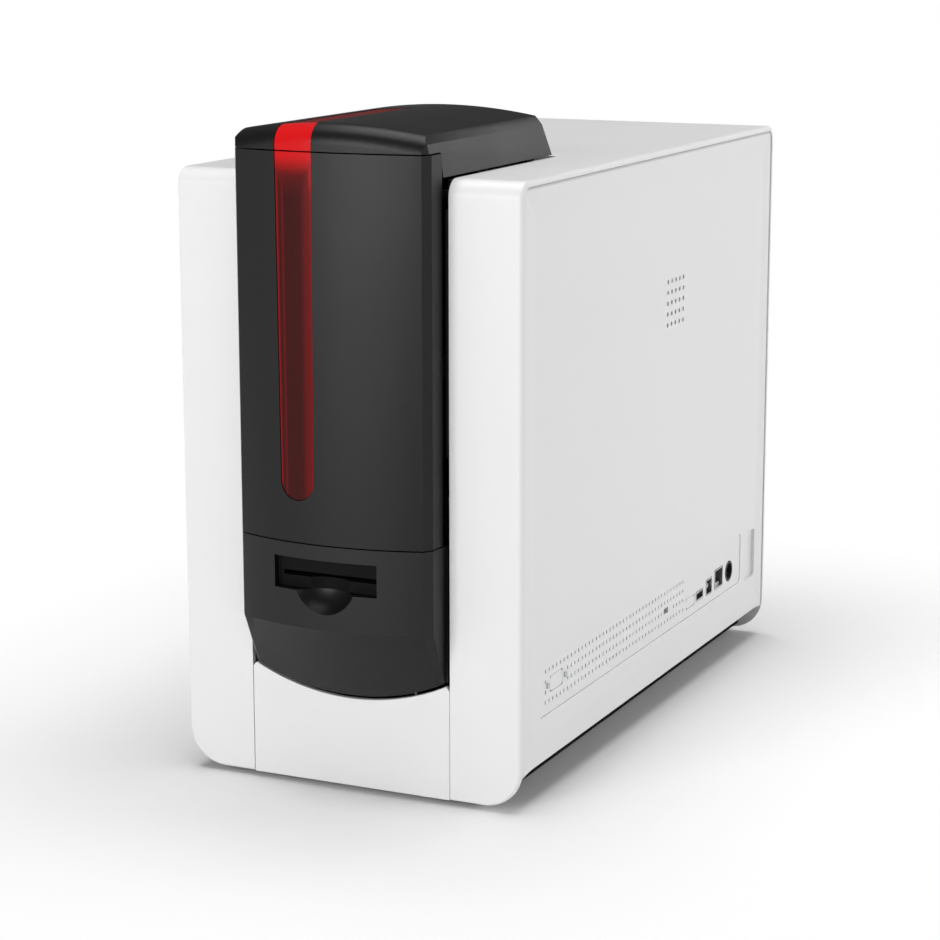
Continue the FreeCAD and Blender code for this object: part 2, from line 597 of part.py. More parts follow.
def port_strip():
    """Inset strip low on the right side, with rows of vents and a hole for each socket."""
    body = new_body("port_strip")
    outline = round_loop(d.strip_front, strip_back, d.strip_bottom, d.strip_top, d.strip_radius)
    prism(body, "x", strip_inner, strip_outer, [outline])
    rim = d.strip_flange
    flange = round_loop(d.strip_front - rim, strip_back + rim, d.strip_bottom - rim, d.strip_top + rim,
                        d.strip_radius)
    prism(body, "x", strip_inner, panel_inner, [flange])
    low, high = strip_inner - d.overrun, strip_outer + d.overrun
    windows = [
        port_window(d.serial_y, d.serial_z, d.serial_width, d.serial_height),
        port_window(lock_y, d.lock_z, d.lock_width, d.lock_height),
        port_window(spare_y, d.spare_z, d.spare_width, d.spare_height),
        port_window(host_y, d.host_z, d.host_width, d.host_height),
        port_window(device_y, d.device_z, d.device_width, d.device_height),
        port_window(network_y, d.network_z, d.network_width, d.network_height),
    ]
    prism(body, "x", low, high, windows, [(power_y, d.power_z, d.power_radius + d.socket_gap)], cut=True)
    beside_serial = d.serial_y + d.serial_screw_spacing / 2 + d.vent_pitch_y
    before_lock = lock_y - d.lock_width / 2 - d.vent_width
    after_lock = lock_y + 3 * d.vent_pitch_y
    ranges = [
        ((0, 3), d.vent_front, vent_stop),
        ((1, 2), d.vent_front, d.vent_front + d.vent_width),
        ((2,), beside_serial, vent_stop),
        ((1,), beside_serial, before_lock),
        ((1,), after_lock, vent_stop),
    ]
    for rows, start, stop in ranges:
        skipped = whole((start - d.vent_front) / d.vent_pitch_y)
        front = d.vent_front + skipped * d.vent_pitch_y
        vents = []
        for row in rows:
            bottom = d.vent_bottom + row * d.vent_pitch_z
            vents.append(box_loop(front, front + d.vent_width, bottom, bottom + d.vent_height))
        first = prism(body, "x", low, high, vents, cut=True)
        along(body, first, "Y_Axis", d.vent_pitch_y, whole((stop - front) / d.vent_pitch_y) + 1)
    holes = [(d.serial_y + side * d.serial_screw_spacing / 2, d.serial_z, d.serial_screw_radius)
             for side in (-1, 1)]
    prism(body, "x", low, high, circles=holes, cut=True)


def blanking_plates():
    """The two covers that close the unused socket holes of the strip."""
    body = new_body("blanking_plates")
    plates = [
        (d.serial_y, d.serial_z, d.serial_width, d.serial_height),
        (spare_y, d.spare_z, d.spare_width, d.spare_height),
    ]
    for y, z, width, height in plates:
        flange = d.blank_reach
        face = round_loop(y - width / 2, y + width / 2, z - height / 2, z + height / 2, d.blank_radius)
        seat = round_loop(y - width / 2 - flange, y + width / 2 + flange,
                          z - height / 2 - flange, z + height / 2 + flange, d.blank_radius)
        prism(body, "x", strip_inner, strip_outer, [face])
        prism(body, "x", strip_inner - d.blank_reach, strip_inner, [seat])


def socket(label, y, z, width, height, tongue):
    """A metal socket shell on the main board, open outwards, with a plastic tongue inside."""
    body = new_body(label)
    wall, face = d.socket_wall, strip_outer + d.socket_reach
    board_face = board_x + d.board_wall
    prism(body, "x", board_face, face, [box_loop(y - width / 2, y + width / 2, z - height / 2, z + height / 2)])
    prism(body, "x", face - d.socket_depth, face + d.overrun,
          [box_loop(y - width / 2 + wall, y + width / 2 - wall, z - height / 2 + wall, z + height / 2 - wall)],
          cut=True)
    left, right, bottom, top = tongue
    prism(body, "x", face - d.socket_depth, face - 2 * wall,
          [box_loop(y + left * width / 2, y + right * width / 2, z + bottom * height / 2, z + top * height / 2)])


def power_socket():
    """Round power socket with four contact pins."""
    body = new_body("power_socket")
    face = strip_outer + d.socket_reach
    rod(body, power_y, d.power_z, board_x + d.board_wall, face, d.power_radius)
    rod(body, power_y, d.power_z, face - d.socket_depth, face + d.overrun, d.power_bore, cut=True)
    reach = d.power_pin_circle * HALF_TURN_SHARE
    for side in (-1, 1):
        for level in (-1, 1):
            rod(body, power_y + side * reach, d.power_z + level * reach,
                face - d.socket_depth, face - 2 * d.socket_wall, d.power_pin_radius)


def board_spots():
    """The four places, as y and z, where the main board is held."""
    inset = d.spacer_inset
    return [(y, z) for y in (board_front + inset, board_back - inset)
            for z in (d.board_bottom + inset, d.board_top - inset)]


def electronics():
    """Main board on its bracket, with the screws that hold it and the two beside the serial cover."""
    face = board_x
    bracket = new_body("board_bracket")
    plate_out = face - d.spacer_length
    plate_in = plate_out - d.bracket_wall
    plate = box_loop(board_front, board_back, tray_top, d.board_top)
    prism(bracket, "x", plate_in, plate_out, [plate])
    prism(bracket, "z", tray_top, tray_top + d.bracket_wall,
          [box_loop(plate_in - d.bracket_foot, plate_in, board_front, board_back)])
    prism(bracket, "x", plate_out, face, circles=[(y, z, d.spacer_radius) for y, z in board_spots()])
    board = new_body("main_board")
    outer = face + d.board_wall
    prism(board, "x", face, outer, [box_loop(board_front, board_back, d.board_bottom, d.board_top)])
    middle_y, middle_z = (board_front + board_back) / 2, (d.board_top + d.power_z) / 2
    chips = []
    for step in (-2, -1, 1):
        start = middle_y + step * 2 * d.chip_size
        chips.append(box_loop(start, start + d.chip_size, middle_z, middle_z + d.chip_size))
    prism(board, "x", outer, outer + d.chip_height, chips)
    cans = [(board_front + d.spacer_inset + step * 3 * d.can_radius, d.board_bottom + 3 * d.can_radius, d.can_radius)
            for step in (1, 2, 3)]
    prism(board, "x", outer, outer + d.can_height, circles=cans)
    screws = new_body("screws")
    for y, z in board_spots():
        rod(screws, y, z, outer, outer + d.board_screw_head, d.board_screw_radius)
    for side in (-1, 1):
        y = d.serial_y + side * d.serial_screw_spacing / 2
        rod(screws, y, d.serial_z, strip_inner - d.socket_wall, strip_outer + d.socket_wall,
            d.serial_screw_radius - d.bearing_clearance)


def base_tray():
    """Black tray that closes the bottom and carries everything."""
    body = new_body("base_tray")
    gap = d.casing_wall
    wall = d.tray_floor
    outer = box_loop(-tray_half_width, tray_half_width, gap, d.casing_depth - gap)
    inner = box_loop(wall - tray_half_width, tray_half_width - wall, gap + wall, d.casing_depth - gap - wall)
    prism(body, "z", d.tray_bottom, tray_top + d.tray_height, [outer])
    prism(body, "z", tray_top, tray_top + d.tray_height + d.overrun, [inner], cut=True)
    front = box_loop(-frame_outer, frame_outer, gap - d.overrun, gap + wall + d.overrun)
    prism(body, "z", tray_top, tray_top + d.tray_height + d.overrun, [front], cut=True)
    rim = tray_top + d.tray_height
    for left, right in ((-panel_inner, wall - tray_half_width), (tray_half_width - wall, panel_inner)):
        ledge = box_loop(left, right, d.tray_ledge_front, tray_ledge_back)
        prism(body, "z", rim - wall, rim, [ledge])


def rubber_feet():
    """Four rubber feet under the tray."""
    body = new_body("rubber_feet")
    spots = [(side * foot_x, y) for side in (-1, 1) for y in (d.foot_front, foot_back)]
    prism(body, "z", 0, d.tray_bottom, circles=[(x, y, d.foot_radius) for x, y in spots])


def tower_frame():
    """Black inner frame behind the door: two side plates on a floor, with a rear bar and hinge ears."""
    body = new_body("tower_frame")
    top = top_z - d.seam
    prism(body, "z", tray_top, tray_top + d.frame_floor,
          [box_loop(-frame_outer, frame_outer, d.frame_front, d.frame_back)])
    for left in (-frame_outer, frame_inner):
        plate = box_loop(left, left + d.frame_wall, d.frame_front, d.frame_back)
        prism(body, "z", tray_top, top, [plate])
        jamb = box_loop(left, left + d.frame_wall, d.frame_front - d.jamb_reach, d.frame_front)
        prism(body, "z", d.jamb_bottom, d.jamb_top, [jamb])
    bar_front = d.frame_back - d.frame_bar_depth
    bar_bottom = d.frame_bar_top - d.frame_bar_height
    bar = box_loop(bar_front, d.frame_back, bar_bottom, d.frame_bar_top)
    prism(body, "x", -frame_inner, frame_inner, [bar])
    for left in (-d.cover_ear_outer, d.cover_ear_inner):
        radius = d.cover_boss_radius
        y, z = d.cover_hinge_y, d.cover_hinge_z
        ear = [(y - radius, d.frame_bar_top), (y + radius, d.frame_bar_top), (y + radius, z, (y, z + radius)),
               (y - radius, z)]
        prism(body, "x", left, left + d.cover_ear_outer - d.cover_ear_inner, [ear])
        rod(body, y, z, left - d.overrun / 2, left + d.cover_ear_outer, d.cover_pin_radius, cut=True)
    arm_bottom = door_top + d.hinge_arm_lift
    arm_back = d.frame_front + 3 * d.hinge_boss_radius
    x, y, radius = -d.hinge_x, -d.hinge_y, d.hinge_arm_radius
    arm = [(x - radius, y, (x, y - radius)), (x + radius, y), (x + radius, arm_back), (x - radius, arm_back)]
    prism(body, "z", arm_bottom, arm_bottom + d.hinge_arm_height, [arm])
    post = box_loop(x - radius, x + radius, arm_back - 2 * radius, arm_back)
    prism(body, "z", top - 2 * d.hinge_boss_length, arm_bottom + d.hinge_arm_height, [post])
    web = box_loop(-frame_inner, x - radius, arm_back - 2 * radius, arm_back)
    prism(body, "z", top - 2 * d.hinge_boss_length, top, [web])
    prism(body, "z", arm_bottom - d.overrun, arm_bottom + d.hinge_arm_height + d.overrun,
          circles=[(x, y, d.hinge_pin_radius)], cut=True)
    lug_top = d.catch_z + d.catch_height / 2
    lug_bottom = d.catch_z - d.catch_height / 2
    lug = box_loop(d.catch_x - d.catch_width / 2, frame_inner, d.catch_back, d.catch_back + d.lug_depth)
    prism(body, "z", lug_bottom, lug_top, [lug])


def door_magnet():
    """Small magnet on the frame that holds the door shut."""
    body = new_body("door_magnet")
    half = d.catch_width / 2
    face = box_loop(d.catch_x - half, d.catch_x + half, d.catch_z - d.catch_height / 2, d.catch_z + d.catch_height / 2)
    prism(body, "y", d.catch_back - d.catch_depth, d.catch_back, [face])


def lower_bezel():
    """Fixed black module under the door, with the card slot, its recess and the thumb notch."""
    body = new_body("lower_bezel")
    upper = tower_outline(d.bulge_bottom, d.tower_half_width, d.side_edge_y, 0)
    low_shoulder = d.bezel_low_setback + d.bezel_low_arc
    low_back = low_shoulder + d.front_chamfer_depth / 2
    low = [
        (-d.tower_half_width, low_back), (-d.shoulder_half_width, low_shoulder + d.front_chamfer_depth / 4),
        (-d.front_half_width, low_shoulder, (0, d.bezel_low_setback)), (d.front_half_width, low_shoulder),
        (d.shoulder_half_width, low_shoulder + d.front_chamfer_depth / 4), (d.tower_half_width, low_back),
    ]
    low_z = d.ground_gap + d.bezel_low
    loft(body, [(low_z, low), (break_z, upper)])
    prism(body, "z", break_z, bezel_top, [upper])
    tail = box_loop(-frame_inner, frame_inner, d.side_edge_y - d.seam, d.bezel_tail)
    prism(body, "z", d.ground_gap + d.lower_panel_side, bezel_top, [tail])
    cavity = box_loop(-d.bezel_cavity_half, d.bezel_cavity_half, -d.bezel_cavity_front, d.bezel_tail + d.overrun)
    prism(body, "z", d.ground_gap + d.bezel_cavity_bottom, bezel_top - d.tower_wall, [cavity], cut=True)
    arc_half = channel_half - d.seam_gap - d.lower_panel_chamfer
    side = d.ground_gap + d.lower_panel_side + d.arc_gap
    middle = d.ground_gap + d.lower_panel_middle + d.arc_gap
    under = [
        (-arc_half, side, (0, middle)), (arc_half, side), (channel_half + d.overrun, side),
        (channel_half + d.overrun, 0), (-channel_half - d.overrun, 0), (-channel_half - d.overrun, side),
    ]
    prism(body, "y", -d.bulge_bottom - d.overrun, d.bezel_tail + d.overrun, [under], cut=True)
    low_recess, high_recess = d.ground_gap + d.recess_bottom, d.ground_gap + d.recess_top
    recess = box_loop(-d.recess_left, d.recess_right, low_recess, high_recess)
    front = -d.bulge_bottom - d.overrun
    prism(body, "y", front, d.recess_depth - d.bulge_bottom, [recess], cut=True)
    slot = box_loop(-d.slot_half_width, d.slot_half_width, d.exit_z - d.card_thickness,
                    d.exit_z - d.card_thickness + d.slot_height)
    prism(body, "y", front, d.side_edge_y, [slot], cut=True)
    doc.recompute()
    notch = body.newObject("PartDesign::SubtractiveSphere", "lower_bezel_notch")
    bind(notch, "Radius", d.notch_radius)
    bind(notch, "Angle2", size(0))
    bind(notch, "AttachmentOffset.Base.y", -d.notch_front)
    bind(notch, "AttachmentOffset.Base.z", d.ground_gap + d.notch_z)
    plane = next(item for item in body.Origin.OriginFeatures if item.Role == "XY_Plane")
    notch.AttachmentSupport = [(plane, "")]
    notch.MapMode = "FlatFace"
    body.Tip = notch
    prism(body, "z", bezel_top - d.tower_wall - d.overrun, bezel_top + d.overrun,
          circles=[(-d.hinge_x, -d.hinge_y, d.hinge_pin_radius)], cut=True)


def window_loop(inset, top):
    """The red stripe's outline on the door: straight sides that draw together and a half-round foot."""
    left_top, left_foot = inset - d.window_left_top, inset - d.window_left_bottom
    right_top, right_foot = -d.window_right_top - inset, -d.window_right_bottom - inset
    foot = d.ground_gap + d.window_foot + inset
    radius = (right_foot - left_foot) / 2
    return [
        (left_top, top), (left_foot, foot + radius, ((left_foot + right_foot) / 2, foot)),
        (right_foot, foot + radius), (right_top, top),
    ]


def front_door():
    """Black curved door shell over the card hopper, hinged on its left."""
    body = new_body("front_door")
    back_y = -d.door_edge_setback
    outer = [tower_outline(bulge, d.door_half_width, back_y, 0) for bulge in (d.bulge_bottom, d.bulge_top)]
    loft(body, [(door_bottom, outer[0]), (door_top, outer[1])])
    wall = d.tower_wall
    inner = [tower_outline(bulge, d.door_half_width, d.overrun, wall) for bulge in (d.bulge_bottom, d.bulge_top)]
    loft(body, [(door_bottom + wall, inner[0]), (door_top - wall, inner[1])], cut=True)
    x, y = -d.hinge_x, -d.hinge_y
    for base in (door_bottom + wall, door_top - wall - d.hinge_boss_length):
        prism(body, "z", base, base + d.hinge_boss_length, circles=[(x, y, d.hinge_boss_radius)])
    for base in (door_bottom - d.overrun, door_top - wall - d.hinge_boss_length - d.overrun):
        prism(body, "z", base, base + wall + d.hinge_boss_length + 2 * d.overrun,
              circles=[(x, y, d.hinge_pin_radius + d.hinge_clearance)], cut=True)
    strike_half = d.catch_width / 2
    strike = box_loop(d.catch_x - strike_half, d.door_half_width - wall, -d.strike_front,
                      d.catch_back - d.catch_depth - d.seat_gap)
    prism(body, "z", d.catch_z - d.catch_height / 2, d.catch_z + d.catch_height / 2, [strike])
    slot = window_loop(0, door_top + d.overrun)
    prism(body, "y", -d.bulge_bottom - d.overrun, d.window_cut_depth - d.bulge_top, [slot], cut=True)


def keep_inside(body, axis, low, high, outline, reach):
    """Cuts away everything outside an outline, within a large frame of the named reach."""
    frame = box_loop(-reach, reach, -reach, 2 * reach)
    prism(body, axis, low, high, [frame, outline], cut=True)


def door_window():
    """Red see-through stripe let into the door."""
    body = new_body("door_window")
    back_y = -d.door_edge_setback
    bulges = (d.bulge_bottom, d.bulge_top)
    outer = [tower_outline(bulge, d.door_half_width, back_y, d.window_recess) for bulge in bulges]
    loft(body, [(door_bottom, outer[0]), (door_top, outer[1])])
    wall = d.window_recess + d.window_wall
    inner = [tower_outline(bulge, d.door_half_width, d.overrun, wall) for bulge in bulges]
    loft(body, [(door_bottom, inner[0]), (door_top, inner[1])], cut=True)
    stripe = window_loop(d.window_gap, door_top)
    keep_inside(body, "y", -d.bulge_bottom - d.overrun, d.overrun, stripe, top_z)


def crown_loop(inset):
    """The cover's section across the printer: a low crown, two shoulders and sloping sides."""
    xe, xs, xb = d.crown_half_width - inset, d.cover_shoulder_half - inset, d.tower_half_width - inset
    top = crown_z - inset
    return [
        (-xb, cover_foot - d.overrun), (-xb, cover_foot), (-xs, top - d.cover_shoulder_drop),
        (-xe, top - d.crown_edge_drop, (0, top)), (xe, top - d.crown_edge_drop),
        (xs, top - d.cover_shoulder_drop), (xb, cover_foot), (xb, cover_foot - d.overrun),
    ]


def cover_form(body, inset):
    """The cover's outer form: a side outline, drawn in to the crown section and the plan outline."""
    slope = (d.cover_back_foot - d.cover_back_top) / (crown_z - cover_foot)
    side = [
        (-d.bulge_bottom - d.overrun, cover_bottom), (-d.bulge_bottom - d.overrun, crown_z + d.overrun),
        (d.cover_back_top - inset - d.overrun * slope, crown_z + d.overrun), (d.cover_back_foot - inset, cover_foot),
        (-d.cover_cheek_setback, cover_foot), (-d.cover_cheek_setback, cover_bottom),
    ]
    prism(body, "x", -channel_half, channel_half, [side])
    keep_inside(body, "y", -d.bulge_bottom - d.overrun, d.casing_depth, crown_loop(inset), 2 * top_z)
    plan = tower_outline(d.bulge_top, d.tower_half_width, d.side_edge_y, inset)
    plan = [(plan[0][0], d.opening_back)] + plan + [(plan[-1][0], d.opening_back)]
    keep_inside(body, "z", cover_foot - d.overrun, crown_z + d.overrun, plan, 2 * top_z)
    level = (crown_z - d.crown_edge_drop - d.overrun).value
    limit = (d.overrun - d.shoulder_front).value
    fillet(body, d.cover_front_radius - inset, lambda p: p.z > level and p.y < limit and abs(p.x) < NEAR)


def top_cover():
    """Black lid over the tower, hinged at its rear foot."""
    body = new_body("top_cover")
    cover_form(body, size(0))
    wall = d.tower_wall
    front = d.cover_front_cavity - d.bulge_top
    bay = crown_loop(wall)
    prism(body, "y", d.cover_bay_front, d.cover_bay_back, [bay], cut=True)
    half = d.cover_cavity_half
    nose = box_loop(-half, half, front + d.cover_bay_front, d.cover_bay_front + d.overrun)
    prism(body, "z", cover_foot - d.overrun, crown_z - d.cover_shoulder_drop, [nose], cut=True)
    arm_half = d.hinge_arm_radius + d.hinge_arm_gap
    arm = box_loop(-d.hinge_x - arm_half, arm_half - d.hinge_x, -d.hinge_y - arm_half, d.cover_bay_front + d.overrun)
    prism(body, "z", cover_foot - d.overrun, door_top + d.hinge_arm_lift + d.hinge_arm_height + 2 * d.seam,
          [arm], cut=True)
    rear = box_loop(-d.cover_pin_half, d.cover_pin_half, d.cover_bay_back - d.overrun,
                    d.cover_hinge_y + d.cover_boss_radius + d.seam)
    prism(body, "z", cover_foot - d.overrun, d.cover_hinge_z + d.cover_boss_radius + d.seam, [rear], cut=True)
    gap = d.seam
    for left, right in ((-d.cover_ear_outer - gap, gap - d.cover_ear_inner),
                        (d.cover_ear_inner - gap, d.cover_ear_outer + gap)):
        notch = box_loop(left, right, d.cover_hinge_y + d.cover_boss_radius, d.cover_back_foot + d.overrun)
        prism(body, "z", cover_foot - d.overrun, d.cover_notch_top, [notch], cut=True)
    y, z = d.cover_hinge_y, d.cover_hinge_z
    inner = d.cover_ear_outer + d.seam
    for left, right in ((-d.cover_pin_half - d.cover_pin_reach / 2, -inner), (inner, d.cover_pin_half + d.cover_pin_reach / 2)):
        rod(body, y, z, left, right, d.cover_boss_radius)
    for left, right in ((-d.cover_pin_half, -inner + d.seam), (inner - d.seam, d.cover_pin_half)):
        rod(body, y, z, left, right, d.cover_pin_radius + d.hinge_clearance, cut=True)
    prism(body, "z", cover_foot - d.overrun, cover_bottom,
          circles=[(-d.hinge_x, -d.hinge_y, d.door_swing_radius)], cut=True)
    stripe = box_loop(-d.window_left_top, -d.window_right_top, -d.bulge_bottom - d.overrun, d.cover_window_back)
    prism(body, "z", cover_bottom - d.overrun, crown_z + d.overrun, [stripe], cut=True)


def cover_window():
    """Red stripe that runs on over the cover."""
    body = new_body("cover_window")
    cover_form(body, d.window_recess)
    wall = d.window_recess + d.window_wall
    under = d.cover_front_radius - d.window_wall
    share = d.window_left_top / d.front_half_width
    inner_front = wall + (d.bulge_top - d.shoulder_front) * share * share - d.bulge_top
    inner_top = crown_z - wall - d.window_wall / 2
    near = under * (1 - HALF_TURN_SHARE)
    hollow = [
        (inner_front, cover_foot - d.overrun),
        (inner_front, inner_top - under, (inner_front + near, inner_top - near)),
        (inner_front + under, inner_top), (d.casing_depth, inner_top), (d.casing_depth, cover_foot - d.overrun),
    ]
    prism(body, "x", -channel_half - d.overrun, channel_half + d.overrun, [hollow], cut=True)
    gap = d.window_gap
    stripe = box_loop(gap - d.window_left_top, -d.window_right_top - gap, -2 * d.bulge_bottom, d.cover_window_back - gap)
    keep_inside(body, "z", cover_foot - d.overrun, crown_z + d.overrun, stripe, 2 * top_z)


def hinge_pins():
    """Two pins of the door's hinge, and the rod of the cover's hinge."""
    door = new_body("hinge_pins")
    ring = [(-d.hinge_x, -d.hinge_y, d.hinge_pin_radius)]
    prism(door, "z", bezel_top - d.tower_wall, door_bottom + d.hinge_pin_reach, circles=ring)
    arm_top = door_top + d.hinge_arm_lift + d.hinge_arm_height
    prism(door, "z", door_top - d.hinge_pin_reach, arm_top, circles=ring)
    half = d.cover_pin_half - d.seat_gap
    rod(door, d.cover_hinge_y, d.cover_hinge_z, -half, half, d.cover_pin_radius)


def chassis_outline():
    """The roller plates' outline in y and z: low in front, a tall bay for the ribbon, a rear for the flipper."""
    return [
        (d.chassis_front, tray_top + d.frame_floor), (d.frame_back + d.seam, tray_top + d.frame_floor),
        (d.frame_back + d.seam, tray_top), (chassis_back, tray_top), (chassis_back, d.chassis_rear_top),
        (d.chassis_bay_back, d.chassis_rear_top), (d.chassis_bay_back, d.chassis_step),
        (d.frame_back - d.frame_bar_depth - d.seam, d.chassis_step),
        (d.frame_back - d.frame_bar_depth - d.seam, d.chassis_bay_top),
        (d.chassis_bay_front, d.chassis_bay_top), (d.chassis_bay_front, d.chassis_deck),
        (d.chassis_front, d.chassis_deck),
    ]


def shaft_places():
    """Where the roller shafts cross the chassis plates, as y and z."""
    return {
        "pick_roller": (d.pick_y, feed_axis_z), "feed_roller": (d.feed_y, feed_axis_z),
        "cleaning_roller": (d.feed_y, feed_top + d.cleaning_radius),
        "platen_roller": (d.platen_y, feed_axis_z), "transport_roller": (d.transport_y, feed_axis_z),
        "transport_pinch_roller": (d.transport_y, feed_top + d.pinch_radius),
        "exit_roller_front": (d.exit_front_y, exit_axis_z),
        "exit_roller_middle": (d.exit_middle_y, exit_axis_z),
        "exit_roller_rear": (d.exit_rear_y, exit_axis_z),
    }


def chassis_plates():
    """Two steel plates that carry the rollers, and the bars that tie them."""
    for label, low in (("left_chassis_plate", -chassis_outer), ("right_chassis_plate", d.chassis_inner)):
        body = new_body(label)
        high = low + d.chassis_wall
        prism(body, "x", low, high, [chassis_outline()])
        holes = [(y, z, shaft_hole) for y, z in shaft_places().values()]
        holes.append((turn_y, turn_z, d.turn_axle_radius + d.bearing_clearance))
        holes.append((d.bracket_y, d.bracket_z, d.bracket_pin_radius + d.bearing_clearance))
        holes.append((d.ribbon_y, d.supply_z, d.spool_shaft_radius + d.bearing_clearance))
        holes.append((d.ribbon_y, d.takeup_z, d.spool_shaft_radius + d.bearing_clearance))
        prism(body, "x", low - d.overrun, high + d.overrun, circles=holes, cut=True)
        motor_hole = d.motor_shaft_radius + d.seat_gap
        if label.startswith("left"):
            spots = [(d.feed_motor_y, d.feed_motor_z), (turn_y, d.turn_motor_z), (pinion_y, pinion_z)]
            prism(body, "x", low - d.overrun, high + d.overrun, circles=[(y, z, motor_hole) for y, z in spots], cut=True)
            rod(body, idler_y, idler_z, low - d.overrun, low, d.idler_pin_radius)
        else:
            rod(body, d.exit_motor_y, d.exit_motor_z, low - d.overrun, high + d.overrun, motor_hole, cut=True)
    bars = new_body("chassis_tie_bars")
    for y, z in ((d.tie_front_y, d.tie_low_z), (tie_back_y, d.tie_low_z), (d.tie_high_y, d.tie_high_z)):
        rod(bars, y, z, -d.chassis_inner, d.chassis_inner, d.tie_radius)


def pulley(body, y, z, radius, start, side):
    """A flat belt pulley with two flanges on a shaft; side is -1 on the left and 1 on the right."""
    rise = radius + d.flange_rise
    steps = ((0, d.flange_wall, rise), (d.flange_wall, d.pulley_width - d.flange_wall, radius),
             (d.pulley_width - d.flange_wall, d.pulley_width, rise))
    for low, high, reach in steps:
        ends = sorted((side * (start + low), side * (start + high)), key=lambda item: item.value)
        rod(body, y, z, ends[0], ends[1], reach)


def roller(label, place, radius, half, drive):
    """A roller on its shaft; drive is -1 or 1 for a pulley on the left or right end, or 0 for none."""
    body = new_body(label, *place)
    rod(body, 0, 0, -half, half, radius)
    left = right = chassis_outer + d.shaft_stub
    end = d.pulley_start + d.pulley_width + d.shaft_stub
    if drive < 0:
        left = end
    if drive > 0:
        right = end
    rod(body, 0, 0, -left, right, d.shaft_radius)
    if drive:
        pulley(body, 0, 0, d.pulley_radius, d.pulley_start, drive)


def rollers():
    """Every roller of the upper feed path and of the lower exit path."""
    places = shaft_places()
    drives = {"pick_roller": -1, "feed_roller": -1, "platen_roller": -1, "transport_roller": -1,
              "exit_roller_front": 1, "exit_roller_middle": 1, "exit_roller_rear": 1}
    for label, place in places.items():
        radius, half = d.roller_radius, d.roller_half
        if "pinch" in label:
            radius = d.pinch_radius
        if label == "cleaning_roller":
            radius = d.cleaning_radius
        if label == "pick_roller":
            half = d.pick_half
        roller(label, place, radius, half, drives.get(label, 0))


def tangent_loop(wheels, extra):
    """A belt line round wheels listed clockwise as (y, z, radius), each radius grown by extra."""
    loop = []
    count = len(wheels)
    centre_y = sum(wheel[0] for wheel in wheels) / count
    centre_z = sum(wheel[1] for wheel in wheels) / count
    for index, (y, z, radius) in enumerate(wheels):
        before = wheels[index - 1]
        after = wheels[(index + 1) % count]
        reach = radius + extra
        normals = []
        for start, end in ((before, wheels[index]), (wheels[index], after)):
            run_y, run_z = end[0] - start[0], end[1] - start[1]
            span2 = run_y * run_y + run_z * run_z
            drop = start[2] - end[2]
            along = root(span2 - drop * drop)
            normals.append(((run_y * drop - run_z * along) / span2, (run_z * drop + run_y * along) / span2))
        (ay, az), (by, bz) = normals
        out_y, out_z = y - centre_y, z - centre_z
        long = root(out_y * out_y + out_z * out_z)
        through = (y + reach * out_y / long, z + reach * out_z / long)
        loop.append((y + reach * ay, z + reach * az, through))
        loop.append((y + reach * by, z + reach * bz))
    return loop


def belt(label, wheels, side):
    """A flat belt round its pulleys."""
    body = new_body(label)
    start, end = d.pulley_start + d.belt_inset, d.pulley_start + d.pulley_width - d.belt_inset
    low, high = (-end, -start) if side < 0 else (start, end)
    prism(body, "x", low, high, [tangent_loop(wheels, d.belt_gap + d.belt_wall), tangent_loop(wheels, d.belt_gap)])


def belts():
    """The feed belt and flipper belt on the left, and the exit belt on the right."""
    radius = d.pulley_radius
    belt("feed_belt", [(d.pick_y, feed_axis_z, radius), (d.transport_y, feed_axis_z, radius),
                       (d.feed_motor_y, d.feed_motor_z, radius)], -1)
    belt("exit_belt", [(d.exit_front_y, exit_axis_z, radius), (d.exit_rear_y, exit_axis_z, radius),
                       (d.exit_motor_y, d.exit_motor_z, radius)], 1)
    belt("flipper_belt", [(turn_y, turn_z, d.turn_pulley_radius), (turn_y, d.turn_motor_z, radius)], -1)


def motor(label, y, z, side):
    """A square stepper motor on the inner face of a chassis plate."""
    body = new_body(label)
    half, cut = d.motor_side / 2, d.motor_chamfer
    outline = [
        (y - half + cut, z - half), (y + half - cut, z - half), (y + half, z - half + cut), (y + half, z + half - cut),
        (y + half - cut, z + half), (y - half + cut, z + half), (y - half, z + half - cut), (y - half, z - half + cut),
    ]
    near, far = d.chassis_inner, d.chassis_inner - d.motor_length
    low, high = (-near, -far) if side < 0 else (far, near)
    prism(body, "x", low, high, [outline])
    over = d.overrun
    depth = d.motor_length - d.motor_boss
    if side < 0:
        rod(body, y, z, -near - over, depth - near, d.motor_shaft_radius + d.bearing_clearance, cut=True)
    else:
        rod(body, y, z, near - depth, near + over, d.motor_shaft_radius + d.bearing_clearance, cut=True)


def motor_shaft(label, y, z, side, end):
    """A motor's shaft, about its own axis, as far as its pulley or pinion."""
    body = new_body(label, y, z)
    far = d.chassis_inner - d.motor_length + 2 * d.motor_boss
    low, high = (-end, -far) if side < 0 else (far, end)
    rod(body, 0, 0, low, high, d.motor_shaft_radius)
    return body


def motors():
    """Four motors, three with pulleys and one with the ribbon pinion."""
    belt_end = d.pulley_start + d.pulley_width + d.shaft_stub
    for label, y, z, side in (("feed_motor", d.feed_motor_y, d.feed_motor_z, -1),
                              ("exit_motor", d.exit_motor_y, d.exit_motor_z, 1),
                              ("flipper_motor", turn_y, d.turn_motor_z, -1)):
        motor(label, y, z, side)
        shaft = motor_shaft(f"{label}_pulley", y, z, side, belt_end)
        pulley(shaft, 0, 0, d.pulley_radius, d.pulley_start, side)
    motor("ribbon_motor", pinion_y, pinion_z, -1)
    end = d.gear_start + d.gear_width + d.shaft_stub
    pinion = motor_shaft("ribbon_pinion", pinion_y, pinion_z, -1, end)
    teeth(pinion, d.pinion_teeth, -1, False)


